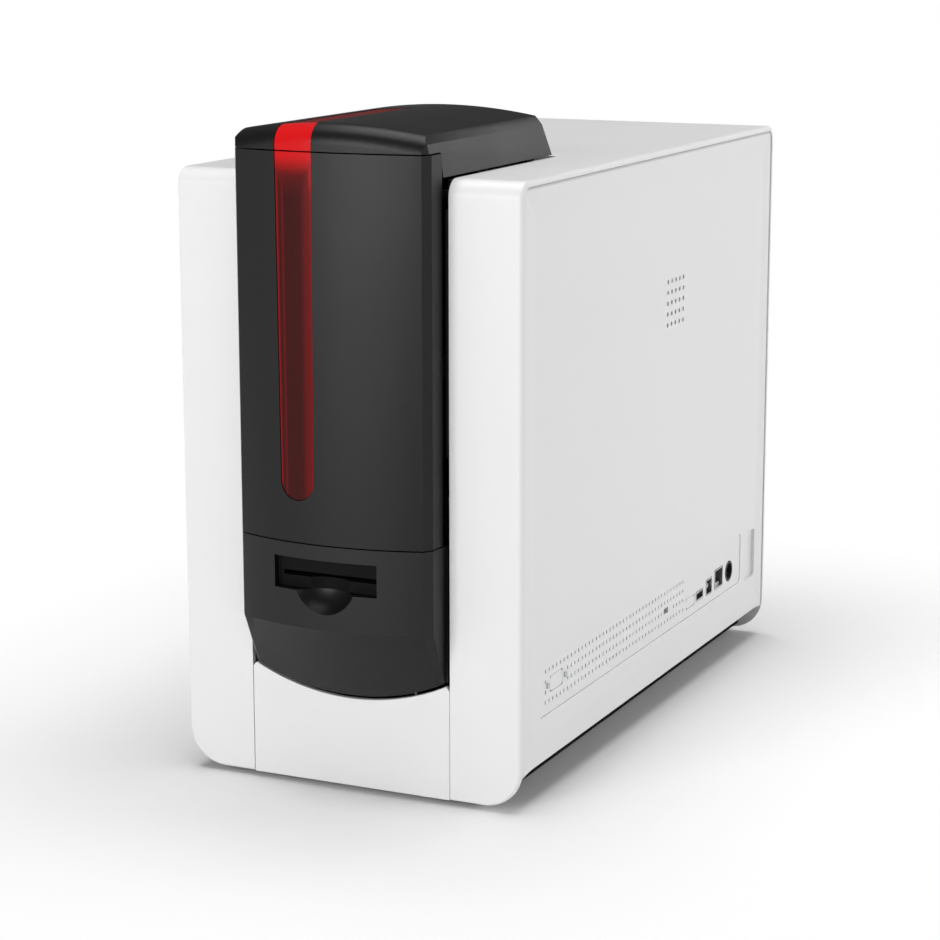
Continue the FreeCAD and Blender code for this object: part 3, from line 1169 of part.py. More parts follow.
def teeth(body, count, facing, gap_there):
    """A ring of straight teeth about the body's own axis, on the left side of the chassis.

    The gear line runs from the take-up spool down to the motor. Facing is 1 where the mating gear
    lies on along that line and -1 where it lies back, and a tooth or a gap points there.
    """
    module = d.tooth_module
    pitch = module * count / 2
    low = -d.gear_start - d.gear_width
    root_drop, tip_rise, root_half, tip_half = TOOTH_SHARES
    rod(body, 0, 0, low, -d.gear_start, pitch - root_drop * module)
    along_y, along_z = facing * gear_run / gear_distance, -facing * d.gear_line_rise / gear_distance
    a, b = along_y, along_z
    if gap_there:
        turn = size(HALF_TURN) / count
        a = along_y * cosine(turn) - along_z * sine(turn)
        b = along_y * sine(turn) + along_z * cosine(turn)
    inner, outer = pitch - (root_drop + tip_half) * module, pitch + tip_rise * module
    wide, thin = root_half * module, tip_half * module
    tooth = [
        (inner * a - wide * b, inner * b + wide * a), (outer * a - thin * b, outer * b + thin * a),
        (outer * a + thin * b, outer * b - thin * a), (inner * a + wide * b, inner * b - wide * a),
    ]
    pad = prism(body, "x", low, -d.gear_start, [tooth])
    around(body, pad, "X_Axis", count)


def ribbon_drive():
    """Idler gear between the ribbon motor and the take-up spool."""
    body = new_body("idler_gear", idler_y, idler_z)
    teeth(body, d.idler_teeth, -1, True)
    rod(body, 0, 0, -d.gear_start - d.gear_width - d.overrun, d.overrun - d.gear_start,
        d.idler_pin_radius + d.bearing_clearance, cut=True)


def card_hopper():
    """Tall open tray for blank cards, with a slot in its floor for the pick roller."""
    body = new_body("card_hopper")
    half = d.card_half + d.hopper_wall
    front = -d.hopper_front
    prism(body, "z", d.chassis_deck, d.hopper_top, [box_loop(-half, half, front, d.hopper_back)])
    inside = box_loop(-d.card_half, d.card_half, front + d.hopper_wall, d.hopper_back - d.hopper_wall)
    prism(body, "z", d.feed_z, d.hopper_top + d.overrun, [inside], cut=True)
    reach = box_loop(-d.card_half, d.card_half, d.feed_z + d.hopper_lip, d.hopper_top + d.overrun)
    prism(body, "y", front - d.overrun, front + d.hopper_wall + d.overrun, [reach], cut=True)
    flange = box_loop(-d.hopper_flange, d.hopper_flange, d.chassis_front, d.hopper_back)
    prism(body, "z", d.chassis_deck, d.chassis_deck + d.hopper_flange_wall, [flange])
    gap = d.hopper_slot_gap
    slot = box_loop(-d.pick_half - gap, d.pick_half + gap,
                    d.pick_y - d.roller_radius - gap, d.pick_y + d.roller_radius + gap)
    prism(body, "z", d.chassis_deck - d.overrun, d.feed_z + d.overrun, [slot], cut=True)
    out = box_loop(-d.card_half, d.card_half, d.feed_z, d.feed_z + 2 * d.card_thickness)
    prism(body, "y", d.hopper_back - d.hopper_wall - d.overrun, d.hopper_back + d.overrun, [out], cut=True)


def card_weight():
    """Weight that lies on the card stack and slides in the hopper, with a finger grip."""
    body = new_body("card_weight")
    half = d.card_half - d.weight_gap
    front = d.hopper_wall - d.hopper_front + d.weight_gap
    back = d.hopper_back - d.hopper_wall - d.weight_gap
    top = d.feed_z + d.weight_height
    prism(body, "z", d.feed_z, top, [box_loop(-half, half, front, back)])
    grip = box_loop(-d.weight_grip_half, d.weight_grip_half, front, front + d.weight_grip_wall)
    prism(body, "z", top, top + d.weight_grip_height, [grip])


def card_guides():
    """The two flat guides under the feed path and the exit path, cut out round their rollers."""
    half = d.chassis_inner
    gap = d.guide_roller_gap
    for label, level, front, places in (
            ("feed_guide", d.feed_z, d.feed_guide_front, (d.platen_y, d.transport_y)),
            ("exit_guide", d.exit_z, d.bezel_tail + d.seat_gap, (d.exit_front_y, d.exit_middle_y, d.exit_rear_y))):
        body = new_body(label)
        top = level - d.guide_drop
        prism(body, "z", top - d.guide_wall, top, [box_loop(-half, half, front, d.guide_back)])
        wide = d.roller_half + gap
        holes = [box_loop(-wide, wide, y - d.roller_radius - gap, y + d.roller_radius + gap) for y in places]
        prism(body, "z", top - d.guide_wall - d.overrun, top + d.overrun, holes, cut=True)


def print_head():
    """Thermal print head over the platen, on a bracket that swings up."""
    low = d.feed_z + d.card_thickness + d.head_gap
    top = low + d.head_height
    front, back = d.platen_y - d.head_depth / 2, d.platen_y + d.head_depth / 2
    edge = d.head_edge / 2
    head = new_body("print_head")
    section = [
        (front, top), (front, low + edge), (d.platen_y - edge, low), (d.platen_y + edge, low), (back, low + edge),
        (back, top),
    ]
    prism(head, "x", -d.head_half, d.head_half, [section])
    bracket = new_body("head_bracket")
    half, arm = d.bracket_half, d.bracket_arm
    prism(bracket, "z", top, top + arm, [box_loop(-half, half, front - arm, back + arm)])
    y, z, radius = d.bracket_y, d.bracket_z, d.bracket_boss_radius
    side = [
        (front - arm, top), (y, z - radius, (y + radius, z)), (y, z + radius), (back, top + 2 * arm),
        (front - arm, top + 2 * arm),
    ]
    for left in (-half, half - arm):
        prism(bracket, "x", left, left + arm, [side])
    for left, right in ((-chassis_outer, -half), (half, chassis_outer)):
        rod(bracket, y, z, left, right, d.bracket_pin_radius)


def ribbon_cartridge():
    """Lift-out frame for the colour ribbon, with its two side plates, bars and handle."""
    body = new_body("ribbon_cartridge")
    outer = d.chassis_inner - d.cartridge_side_gap
    inner = outer - d.cartridge_wall
    front, back, low, high = d.cartridge_front, d.cartridge_back, d.cartridge_bottom, d.cartridge_top
    plate = box_loop(front, back, low, high)
    prism(body, "x", -outer, -inner, [plate])
    inset = d.cartridge_bar_inset
    for y in (front + inset, back - inset):
        for z in (low + inset, high - inset):
            rod(body, y, z, -outer, outer, d.cartridge_bar_radius)
    prism(body, "x", inner, outer, [plate])
    hole = d.spool_shaft_radius + d.bearing_clearance
    for z in (d.takeup_z, d.supply_z):
        rod(body, d.ribbon_y, z, -outer - d.overrun, outer + d.overrun, hole, cut=True)
    handle_back = d.cartridge_handle_y + d.cartridge_handle_wall
    handle = box_loop(-outer, outer, front, handle_back)
    prism(body, "z", high - d.cartridge_wall, high, [handle])
    half = d.cartridge_handle_half
    prism(body, "z", high, high + d.cartridge_handle_height, [box_loop(-half, half, d.cartridge_handle_y, handle_back)])


def ribbon_spools():
    """Supply spool and take-up spool of the colour ribbon, the second with its gear."""
    end = chassis_outer + d.shaft_stub
    for label, z, radius in (("ribbon_supply_spool", d.supply_z, d.supply_roll_radius),
                             ("ribbon_takeup_spool", d.takeup_z, d.takeup_roll_radius)):
        body = new_body(label, d.ribbon_y, z)
        rod(body, 0, 0, -d.roll_half, d.roll_half, radius)
        rod(body, 0, 0, -d.core_half, d.core_half, d.core_radius)
        left = end
        if radius is d.takeup_roll_radius:
            left = d.gear_start + d.gear_width + d.shaft_stub
        rod(body, 0, 0, -left, end, d.spool_shaft_radius)
        if radius is d.takeup_roll_radius:
            teeth(body, d.takeup_teeth, 1, False)


def flipper():
    """Cradle that takes a card at the end of the feed path and turns it over onto the exit path."""
    body = new_body("flipper", turn_y, turn_z)
    card = d.feed_z + d.card_thickness / 2 - turn_z
    half, wide, wall = d.turn_half_length, d.turn_half_width, d.turn_side_wall
    low, high = card - d.turn_side_drop, card + d.turn_side_rise
    web = d.turn_web_half
    side = [
        (-half, low), (-web, low), (-web, 0, (0, -web)), (web, 0), (web, low), (half, low), (half, high), (-half, high),
    ]
    prism(body, "x", -wide, wall - wide, [side])
    guide = d.guide_wall
    above = card + d.turn_guide_lift
    prism(body, "z", above, above + guide, [box_loop(-wide, wide, -half, half)])
    prism(body, "x", wide - wall, wide, [side])
    below = card - d.card_thickness / 2 - d.guide_drop
    prism(body, "z", below - guide, below, [box_loop(-wide, wide, -half, half)])
    rod(body, 0, 0, -d.pulley_start - d.pulley_width - d.shaft_stub, chassis_outer + d.shaft_stub, d.turn_axle_radius)
    pulley(body, 0, 0, d.turn_pulley_radius, d.pulley_start, -1)


def fan():
    """Cooling fan on the inside of the rear panel."""
    back = rear_inner
    frame = new_body("fan_frame", back, d.fan_z)
    half = d.fan_side / 2
    prism(frame, "y", -d.fan_depth, 0, [round_loop(-half, half, -half, half, d.fan_corner)])
    prism(frame, "y", -d.fan_depth - d.overrun, d.overrun, circles=[(0, 0, d.fan_bore)], cut=True)
    strut = d.fan_strut / 2
    prism(frame, "y", -d.fan_plate, 0, circles=[(0, 0, d.fan_hub_radius)])
    prism(frame, "y", -d.fan_plate, 0, [box_loop(-half + strut, half - strut, -strut, strut)])
    prism(frame, "y", -d.fan_plate, 0, [box_loop(-strut, strut, -half + strut, half - strut)])
    pin_reach = d.fan_hub_depth / 2 + d.fan_gap
    prism(frame, "y", -d.fan_plate - pin_reach, -d.fan_plate, circles=[(0, 0, d.fan_pin_radius)])
    rotor = new_body("fan_rotor", back - d.fan_plate - d.fan_gap - d.fan_hub_depth / 2, d.fan_z)
    deep = d.fan_hub_depth / 2
    prism(rotor, "y", -deep, deep, circles=[(0, 0, d.fan_hub_radius)])
    tilt, wall = d.fan_blade_depth / 2, d.fan_blade_wall / 2
    section = [(-tilt - wall, -tilt), (wall - tilt, -tilt), (tilt + wall, tilt), (tilt - wall, tilt)]
    blade = prism(rotor, "z", d.fan_hub_radius - d.fan_gap, d.fan_blade_radius, [section])
    around(rotor, blade, "Y_Axis", BLADES)
    prism(rotor, "y", 0, deep + d.overrun, circles=[(0, 0, d.fan_pin_radius + d.bearing_clearance)], cut=True)


def check_model():
    """Stops with a plain message where any object failed or a cut removed nothing."""
    for item in doc.Objects:
        if "Invalid" in item.State or "Error" in item.State:
            raise RuntimeError(f"{item.Label} failed: {item.State}")
        if item.TypeId == "PartDesign::Pocket" and item.Shape.Volume > item.BaseFeature.Shape.Volume - NEAR:
            raise RuntimeError(f"{item.Label} cut nothing")


def write_parts():
    """Writes each sub-part's solid to its own file."""
    os.makedirs("parts", exist_ok=True)
    for item in doc.Objects:
        if item.TypeId == "PartDesign::Body":
            shape = item.Shape
            if shape.isNull() or not shape.isValid() or not shape.Solids:
                raise RuntimeError(f"{item.Label} has no valid solid")
            shape.exportStep(f"parts/{item.Label}.step")
            print(item.Label, len(shape.Solids), round(shape.Volume), [round(v, 1) for v in (
                shape.BoundBox.XMin, shape.BoundBox.YMin, shape.BoundBox.ZMin,
                shape.BoundBox.XMax, shape.BoundBox.YMax, shape.BoundBox.ZMax)])


for build in (
        casing_hood, lower_front_panel, side_panels, rear_panel, port_strip, blanking_plates, power_socket,
        electronics, base_tray, rubber_feet, tower_frame, door_magnet,
        lower_bezel, front_door, door_window, top_cover, cover_window, hinge_pins, chassis_plates, rollers,
        belts, motors, ribbon_drive, card_hopper, card_weight, card_guides, print_head, ribbon_cartridge,
        ribbon_spools, flipper, fan):
    build()
socket("usb_host_socket", host_y, d.host_z, d.host_width, d.host_height, HOST_TONGUE_SHARES)
socket("usb_device_socket", device_y, d.device_z, d.device_width, d.device_height, DEVICE_TONGUE_SHARES)
socket("network_socket", network_y, d.network_z, d.network_width, d.network_height, NETWORK_TONGUE_SHARES)
doc.recompute()
check_model()
write_parts()
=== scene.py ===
import functools
import json
import math

import bmesh
import bpy
import numpy as np
from mathutils import Euler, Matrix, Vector


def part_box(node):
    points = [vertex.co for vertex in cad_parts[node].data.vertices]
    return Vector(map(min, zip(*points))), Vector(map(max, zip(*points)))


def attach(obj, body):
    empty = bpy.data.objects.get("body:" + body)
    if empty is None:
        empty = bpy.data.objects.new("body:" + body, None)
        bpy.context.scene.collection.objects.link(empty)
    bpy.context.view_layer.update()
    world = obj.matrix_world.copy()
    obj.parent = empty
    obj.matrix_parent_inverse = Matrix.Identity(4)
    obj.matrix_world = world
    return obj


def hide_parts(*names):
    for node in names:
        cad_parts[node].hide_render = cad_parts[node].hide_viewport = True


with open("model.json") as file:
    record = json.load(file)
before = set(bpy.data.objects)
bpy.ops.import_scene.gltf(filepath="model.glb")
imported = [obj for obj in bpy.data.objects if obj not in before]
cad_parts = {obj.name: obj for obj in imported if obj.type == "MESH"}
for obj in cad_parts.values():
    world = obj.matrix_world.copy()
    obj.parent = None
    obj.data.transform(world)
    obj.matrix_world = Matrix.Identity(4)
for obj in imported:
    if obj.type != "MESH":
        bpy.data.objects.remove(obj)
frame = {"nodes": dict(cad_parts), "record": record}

bl_info = {
    "name": "ID card printer",
    "version": (1, 0, 0),
    "blender": (4, 5, 0),
    "location": "3D View > Sidebar > Printer",
    "description": "Dresses the card printer's frame with its shells, stripe, sockets and stage",
    "category": "Object",
}

MM = 0.001

# The body that each imported node rides on, in the record
BODY_OF = {
    node: body
    for body, nodes in frame["record"]["behaviour"]["bodies"].items()
    for node in nodes
}

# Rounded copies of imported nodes: corners closer than WELD are merged, faces that turn by less than
# FLAT_TURN are joined, and edges that turn by more than SHARP_TURN are rounded in EDGE_STEPS steps.
# The large side panels have a rounder edge, by PANEL_ROUNDER, in PANEL_STEPS steps.
WELD = 0.002 * MM
FLAT_TURN = math.radians(0.2)
SHARP_TURN = math.radians(28.0)
EDGE_STEPS = 2
PANEL_STEPS = 3
PANEL_ROUNDER = 1.8
LARGE_FACE_WEIGHT = 100

# Moulded plastic: slow clouds change its gloss by CLOUD_GLOSS, and its fine grain by GRAIN_GLOSS.
# A spread is the share of its colour that the clouds take away, and a depth is the grain's height.
PLASTIC_ROUGHNESS = 0.36
CLOUD = 45 * MM
CLOUD_DETAIL = 3.0
CLOUD_GLOSS = 0.08
GRAIN_GLOSS = 0.05
WHITE_GRAIN = 0.45 * MM
WHITE_DEPTH = 0.008 * MM
WHITE_SPREAD = 0.015
BLACK_GRAIN = 0.5 * MM
BLACK_DEPTH = 0.012 * MM

# Drawn or rolled metal: its streaks change the gloss by STREAK_GLOSS and dim the colour to the
# share STREAK_DIM
STREAK_DETAIL = 3.0
STREAK_GLOSS = 0.16
STREAK_DIM = 0.88
STREAK_DEPTH = 0.01 * MM

# Side panels: a thin painted shade in the seam round them, and a very shallow dish inside a border
PAINTED_SEAM_WIDTH = 1.1 * MM
PAINTED_SEAM_SOFT = 1.4 * MM
PAINTED_SEAM_SHADE = (0.22, 0.22, 0.23)
PAINTED_SEAM_STRENGTH = 0.50
DISH_BORDER = 10.0 * MM
DISH_SOFT = 14.0 * MM
DISH_DEPTH = 1.2 * MM
DISH_GRAIN = 0.006

# The card slot's recess in the lower bezel: its middle and half width in x, its middle and half
# height in z, the y where its painted shade starts, and how softly the painted shade ends at the
# sides and in front
RECESS_MIDDLE = -0.6 * MM
RECESS_HALF = 30.3 * MM
RECESS_HEIGHT = 129.4 * MM
RECESS_RISE = 9.0 * MM
RECESS_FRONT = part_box("lower_bezel")[0].y + 4.0 * MM
RECESS_SOFT = 0.4 * MM
RECESS_FRONT_SOFT = 1.5 * MM
# A dark matt shader painted over the recess's walls: painted shade where the recess's shadow falls
RECESS_PAINTED_SHADE = {
    "Base Color": (0.0045, 0.0045, 0.0048, 1.0),
    "Roughness": 0.7,
    "Specular IOR Level": 0.10,
}

# The red window, whose colour holds painted light. Its painted lines of light run along it, each
# with its place from 0 at the left edge to 1 at the right edge, its reach to both sides and its
# strength. The painted band of light at the right has the place where it starts, its softness and
# its strength.
STRIPE_ROUGHNESS = 0.20
STRIPE_CLOUD = 30 * MM
STRIPE_CLOUD_GLOSS = 0.06
STRIPE_TOP_GLOSS = 0.26
STRIPE_RIPPLE = 6 * MM
STRIPE_RIPPLE_DEPTH = 0.01 * MM
PAINTED_LIGHT_LINES = ((0.03, 0.07, 0.28), (0.19, 0.06, 0.10), (0.96, 0.06, 0.22))
PAINTED_LIGHT_BAND = (0.76, 0.22, 0.12)
# One more painted line of light shows near the window's upper end alone: its ramp has its depth
# under that end and its softness
PAINTED_HEAD_LIGHT = (0.97, 0.12, 0.55)
PAINTED_HEAD_LIGHT_RAMP = (22.0 * MM, 30.0 * MM)
# The painted glow under the upper end is two ramps, each with its depth, its softness and its
# strength
PAINTED_GLOW_RAMPS = ((7.0 * MM, 13.0 * MM, 0.70), (14.0 * MM, 24.0 * MM, 0.14))
# On the crown the painted light starts over the seam, and most of it is lost on the flat top
PAINTED_CROWN_LIGHT = 0.90
PAINTED_CROWN_LOSS = 0.78
CROWN_START = 0.2 * MM
CROWN_START_SOFT = 0.4 * MM
CREST_SOFT = 3.0 * MM

# The floor: half its side, the printer's half width and half depth on it, and how far from there
# it begins to show as white
FLOOR_REACH = 30.0
FLOOR_ROUGHNESS = 0.65
FLOOR_SPECK = 4 * MM
FLOOR_SPECK_GLOSS = 0.1
FLOOR_SPECK_DEPTH = 0.02 * MM
FOOTPRINT = {"X": 100.0 * MM, "Y": 200.0 * MM}
FADE_DISTANCE = 0.17
FADE_SOFT = 0.26

# The world's light on the object, and the height at which mirrors stop showing its white
WHITE = {"Color": (1.0, 1.0, 1.0, 1.0), "Strength": 1.0}
WORLD_LIGHT = {"Color": (1.0, 1.0, 1.0, 1.0), "Strength": 0.12}
HORIZON = 0.03
HORIZON_SOFT = 0.06

# Each lamp's name, place, width and height in metres, and power in watts. All face LAMP_AIM.
LAMP_AIM = (0.0, 0.0, 0.15)
LAMPS = (
    ("top_lamp", (-0.05, 0.00, 2.3), (1.7, 1.7), 37.0),
    ("front_lamp", (-0.48, -2.36, 0.66), (1.4, 1.1), 30.5),
    ("side_lamp", (2.05, 0.30, 1.00), (1.8, 0.6), 15.0),
    ("rear_lamp", (1.15, 1.90, 0.75), (1.2, 0.8), 6.0),
)

# Short names for the shader's sockets whose own names can't be written as a keyword
SOCKETS = {"specular": "Specular IOR Level"}


class Sizes(bpy.types.PropertyGroup):
    """Lengths of the dressing and of the view that a user may change."""

    shell_edge: bpy.props.FloatProperty(
        name="Shell edge", description="Rounding of the white shells' edges",
        default=0.5 * MM, unit="LENGTH")
    tower_edge: bpy.props.FloatProperty(
        name="Tower edge", description="Rounding of the black tower's edges",
        default=0.55 * MM, unit="LENGTH")
    small_edge: bpy.props.FloatProperty(
        name="Small edge", description="Rounding of the windows, sockets and blanking plates",
        default=0.15 * MM, unit="LENGTH")
    stripe_foot_left: bpy.props.FloatProperty(
        name="Stripe foot", description="Left edge of the window at its lower end",
        default=-26.5 * MM, unit="LENGTH")
    stripe_head_right: bpy.props.FloatProperty(
        name="Stripe head", description="Right edge of the window at its upper end",
        default=-6.4 * MM, unit="LENGTH")
    crest: bpy.props.FloatProperty(
        name="Crest", description="Depth of the bend where the window turns over the crown",
        default=11.0 * MM, unit="LENGTH")
    camera_lens: bpy.props.FloatProperty(
        name="Lens", description="Focal length of the view, in millimetres", default=99.56)
    camera_sensor: bpy.props.FloatProperty(
        name="Sensor", description="Width of the view's sensor, in millimetres", default=36.0)
    camera_place: bpy.props.FloatVectorProperty(
        name="Camera place", description="Where the view is taken from",
        default=(0.64445, -1.40975, 0.47919), subtype="TRANSLATION")
    camera_turn: bpy.props.FloatVectorProperty(
        name="Camera turn", description="How the view is turned",
        default=(math.radians(77.874), math.radians(0.069), math.radians(25.032)),
        subtype="EULER")


class Colours(bpy.types.PropertyGroup):
    """Colours that a user may change."""

    casing: bpy.props.FloatVectorProperty(
        name="Casing", description="White of the casing",
        default=(0.80, 0.80, 0.807), subtype="COLOR")
    tower: bpy.props.FloatVectorProperty(
        name="Tower", description="Black of the tower",
        default=(0.0055, 0.0055, 0.0058), subtype="COLOR")
    # The window's bright red shows where its light is painted, and its dark red is painted shade of
    # the dark space seen through it
    stripe: bpy.props.FloatVectorProperty(
        name="Stripe", description="Bright red of the window",
        default=(0.70, 0.010, 0.012), subtype="COLOR")
    stripe_painted_shade: bpy.props.FloatVectorProperty(
        name="Stripe depth", description="Dark red at the window's middle",
        default=(0.046, 0.0050, 0.0045), subtype="COLOR")
    floor: bpy.props.FloatVectorProperty(
        name="Floor", description="Floor under the printer",
        default=(0.96, 0.96, 0.96), subtype="COLOR")


class Link:
    """A shader socket that expressions can be written with."""

    def __init__(self, nodes, socket):
        self.nodes = nodes
        self.socket = socket

    def work(self, operation, first, second=None):
        """One Math node on one or two values."""
        node = self.nodes.tree.nodes.new("ShaderNodeMath")
        node.operation = operation
        self.nodes.feed(node.inputs[0], first)
        if second is not None:
            self.nodes.feed(node.inputs[1], second)
        return Link(self.nodes, node.outputs[0])

    def __add__(self, other):
        return self.work("ADD", self, other)

    def __radd__(self, other):
        return self.work("ADD", other, self)

    def __sub__(self, other):
        return self.work("SUBTRACT", self, other)

    def __rsub__(self, other):
        return self.work("SUBTRACT", other, self)

    def __mul__(self, other):
        return self.work("MULTIPLY", self, other)

    def __rmul__(self, other):
        return self.work("MULTIPLY", other, self)

    def __truediv__(self, other):
        return self.work("DIVIDE", self, other)

    def __rtruediv__(self, other):
        return self.work("DIVIDE", other, self)

    def __abs__(self):
        return self.work("ABSOLUTE", self)

    def root(self):
        """The square root."""
        return self.work("SQRT", self)

    def most(self, other):
        """The larger of the two at each point."""
        return self.work("MAXIMUM", self, other)

    def least(self, other):
        """The smaller of the two at each point."""
        return self.work("MINIMUM", self, other)

    def above(self, level, soft):
        """0 under the level, 1 over it, with a smooth ramp of the given width in the middle."""
        return self.nodes.add(
            "ShaderNodeMapRange", {"clamp": True, "interpolation_type": "SMOOTHSTEP"},
            {"Value": self, "From Min": level - soft / 2, "From Max": level + soft / 2})

    def near(self, level, reach):
        """1 at the level, falling to 0 at the given reach on both sides of it."""
        return 1.0 - abs(self - level).above(reach / 2, reach)


class Nodes:
    """A node tree while it is built."""

    def __init__(self, tree):
        self.tree = tree

    def feed(self, socket, value):
        """Links a value to a socket, or sets a plain number or colour on it."""
        if isinstance(value, Link):
            self.tree.links.new(value.socket, socket)
        else:
            socket.default_value = value

    def add(self, kind, settings=None, sockets=None, out=0):
        """Adds one node: its settings first, then the values or links of its sockets."""
        node = self.tree.nodes.new(kind)
        for key, value in (settings or {}).items():
            setattr(node, key, value)
        for key, value in (sockets or {}).items():
            self.feed(node.inputs[key], value)
        return Link(self, node.outputs[out])

    def mix(self, factor, first, second):
        """Blends two colours. Inputs 6 and 7 and output 2 are the node's sockets for colours."""
        first, second = (
            value if isinstance(value, Link) else tuple(value)[:3] + (1.0,)
            for value in (first, second))
        return self.add("ShaderNodeMix", {"data_type": "RGBA"}, {0: factor, 6: first, 7: second}, 2)

    def blend(self, factor, first, second):
        """Blends two shaders."""
        return self.add("ShaderNodeMixShader", sockets={0: factor, 1: first, 2: second})

    def surface(self, output, shader):
        """Makes a shader the result of the tree."""
        self.feed(self.tree.nodes[output].inputs["Surface"], shader)

    def seen(self):
        """Two masks: 1 for rays from the view, and 1 for rays from mirrors or through glass."""
        path = self.add("ShaderNodeLightPath").socket.node
        view, mirror, glass = (
            Link(self, path.outputs[f"Is {kind} Ray"])
            for kind in ("Camera", "Glossy", "Transmission"))
        return view, mirror.most(glass)


class Finish(Nodes):
    """A material while it is built."""

    def __init__(self, name, colour, roughness, metallic=0.0, **constants):
        self.material = bpy.data.materials.new(name)
        self.material.use_nodes = True
        super().__init__(self.material.node_tree)
        self.shader = self.tree.nodes["Principled BSDF"]
        self.shader.inputs["Base Color"].default_value = tuple(colour) + (1.0,)
        self.set(roughness=roughness, metallic=metallic, **constants)
        self.place = self.add("ShaderNodeTexCoord", out="Object")

    def axis(self, name):
        """One coordinate of the surface point, in metres."""
        return self.add("ShaderNodeSeparateXYZ", sockets={0: self.place}, out=name)

    def noise(self, grain, detail=2.0):
        """Cloudy noise whose patches are about one grain wide, in metres."""
        return self.add("ShaderNodeTexNoise", {"noise_dimensions": "3D"},
                        {"Vector": self.place, "Scale": 1.0 / grain, "Detail": detail}, "Fac")

    def set(self, **inputs):
        """Feeds the shader's own sockets."""
        for key, value in inputs.items():
            socket = SOCKETS.get(key, key.replace("_", " ").title())
            self.feed(self.shader.inputs[socket], value)
        return self

    def bump(self, height, distance):
        """Raises the surface by a height from 0 to 1 times the distance."""
        return self.set(normal=self.add(
            "ShaderNodeBump", sockets={"Height": height, "Distance": distance, "Strength": 1.0},
            out="Normal"))

    def own_shader(self):
        """The material's own shader, to blend with others."""
        return Link(self, self.shader.outputs[0])


def dimmed(colour, share):
    """The colour with each channel times the share."""
    return tuple(share * channel for channel in colour)


def moulded(name, colour, roughness, grain, depth, spread=0.06, **constants):
    """Moulded plastic: fine grain in the normal, and slow cloudy changes of gloss and shade."""
    finish = Finish(name, colour, roughness, **constants)
    cloud, fine = finish.noise(CLOUD, CLOUD_DETAIL), finish.noise(grain)
    finish.set(
        base_color=finish.mix(cloud, dimmed(colour, 1.0 - spread), colour),
        roughness=roughness - CLOUD_GLOSS / 2 + CLOUD_GLOSS * cloud + GRAIN_GLOSS * fine)
    finish.bump(fine, depth)
    return finish.material


def steel(name, colour, roughness, stretch):
    """Drawn or rolled metal: thin streaks along the axis of the smallest stretch."""
    finish = Finish(name, colour, roughness, metallic=1.0)
    drawn = finish.add("ShaderNodeMapping", sockets={"Vector": finish.place, "Scale": stretch})
    lines = finish.add(
        "ShaderNodeTexNoise", sockets={"Vector": drawn, "Scale": 1.0, "Detail": STREAK_DETAIL},
        out="Fac")
    finish.set(
        base_color=finish.mix(lines, dimmed(colour, STREAK_DIM), colour),
        roughness=roughness - STREAK_GLOSS / 2 + STREAK_GLOSS * lines)
    finish.bump(lines, STREAK_DEPTH)
    return finish.material


def stripe_finish(sizes, colours):
    """Clear red plastic over a dark space.

    The dark red is painted shade of the dark space behind the window, and all the light in it is
    painted into its colour. Across the window, painted light runs out at its long edges: two thin
    lines at the left, and a broad band that ends in a line at the right. Along it, the bend over the
    crown's front edge is painted as lit through. That painted light fades below the seam, and on the
    crown's flat top the dark space shows again.
    """
    finish = Finish("stripe_red", colours.stripe, STRIPE_ROUGHNESS, specular=0.10)
    x, y, z = finish.axis("X"), finish.axis("Y"), finish.axis("Z")
    low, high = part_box("door_window")
    rise = (z - low.z) / (high.z - low.z)
    left = sizes.stripe_foot_left + (low.x - sizes.stripe_foot_left) * rise
    width = high.x + (sizes.stripe_head_right - high.x) * rise - left
    across = (x - left) / width
    # Painted light: the lines and band of light at the window's edges, the line and glow at its
    # upper end and the light over the crown are mixed into the colour, from the dark red painted
    # shade to the bright red
    edges = [strength * across.near(place, reach) for place, reach, strength in PAINTED_LIGHT_LINES]
    place, soft, strength = PAINTED_LIGHT_BAND
    edges.append(strength * across.above(place, soft))
    place, reach, strength = PAINTED_HEAD_LIGHT
    depth, soft = PAINTED_HEAD_LIGHT_RAMP
    edges.append(strength * z.above(high.z - depth, soft) * across.near(place, reach))
    painted_glow, painted_far_glow = (
        strength * z.above(high.z - depth, soft) for depth, soft, strength in PAINTED_GLOW_RAMPS)
    flat = y.above(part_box("cover_window")[0].y + sizes.crest, CREST_SOFT)
    painted_crown_light = (PAINTED_CROWN_LIGHT - PAINTED_CROWN_LOSS * flat) * z.above(high.z + CROWN_START, CROWN_START_SOFT)
    painted_light = functools.reduce(Link.most, edges).most(painted_glow + painted_far_glow) * (1.0 - flat)
    cloud = finish.noise(STRIPE_CLOUD)
    finish.set(
        base_color=finish.mix(painted_light.most(painted_crown_light), colours.stripe_painted_shade, colours.stripe),
        roughness=STRIPE_ROUGHNESS + STRIPE_CLOUD_GLOSS * cloud + STRIPE_TOP_GLOSS * flat)
    finish.bump(finish.noise(STRIPE_RIPPLE, detail=1.0), STRIPE_RIPPLE_DEPTH)
    return finish.material


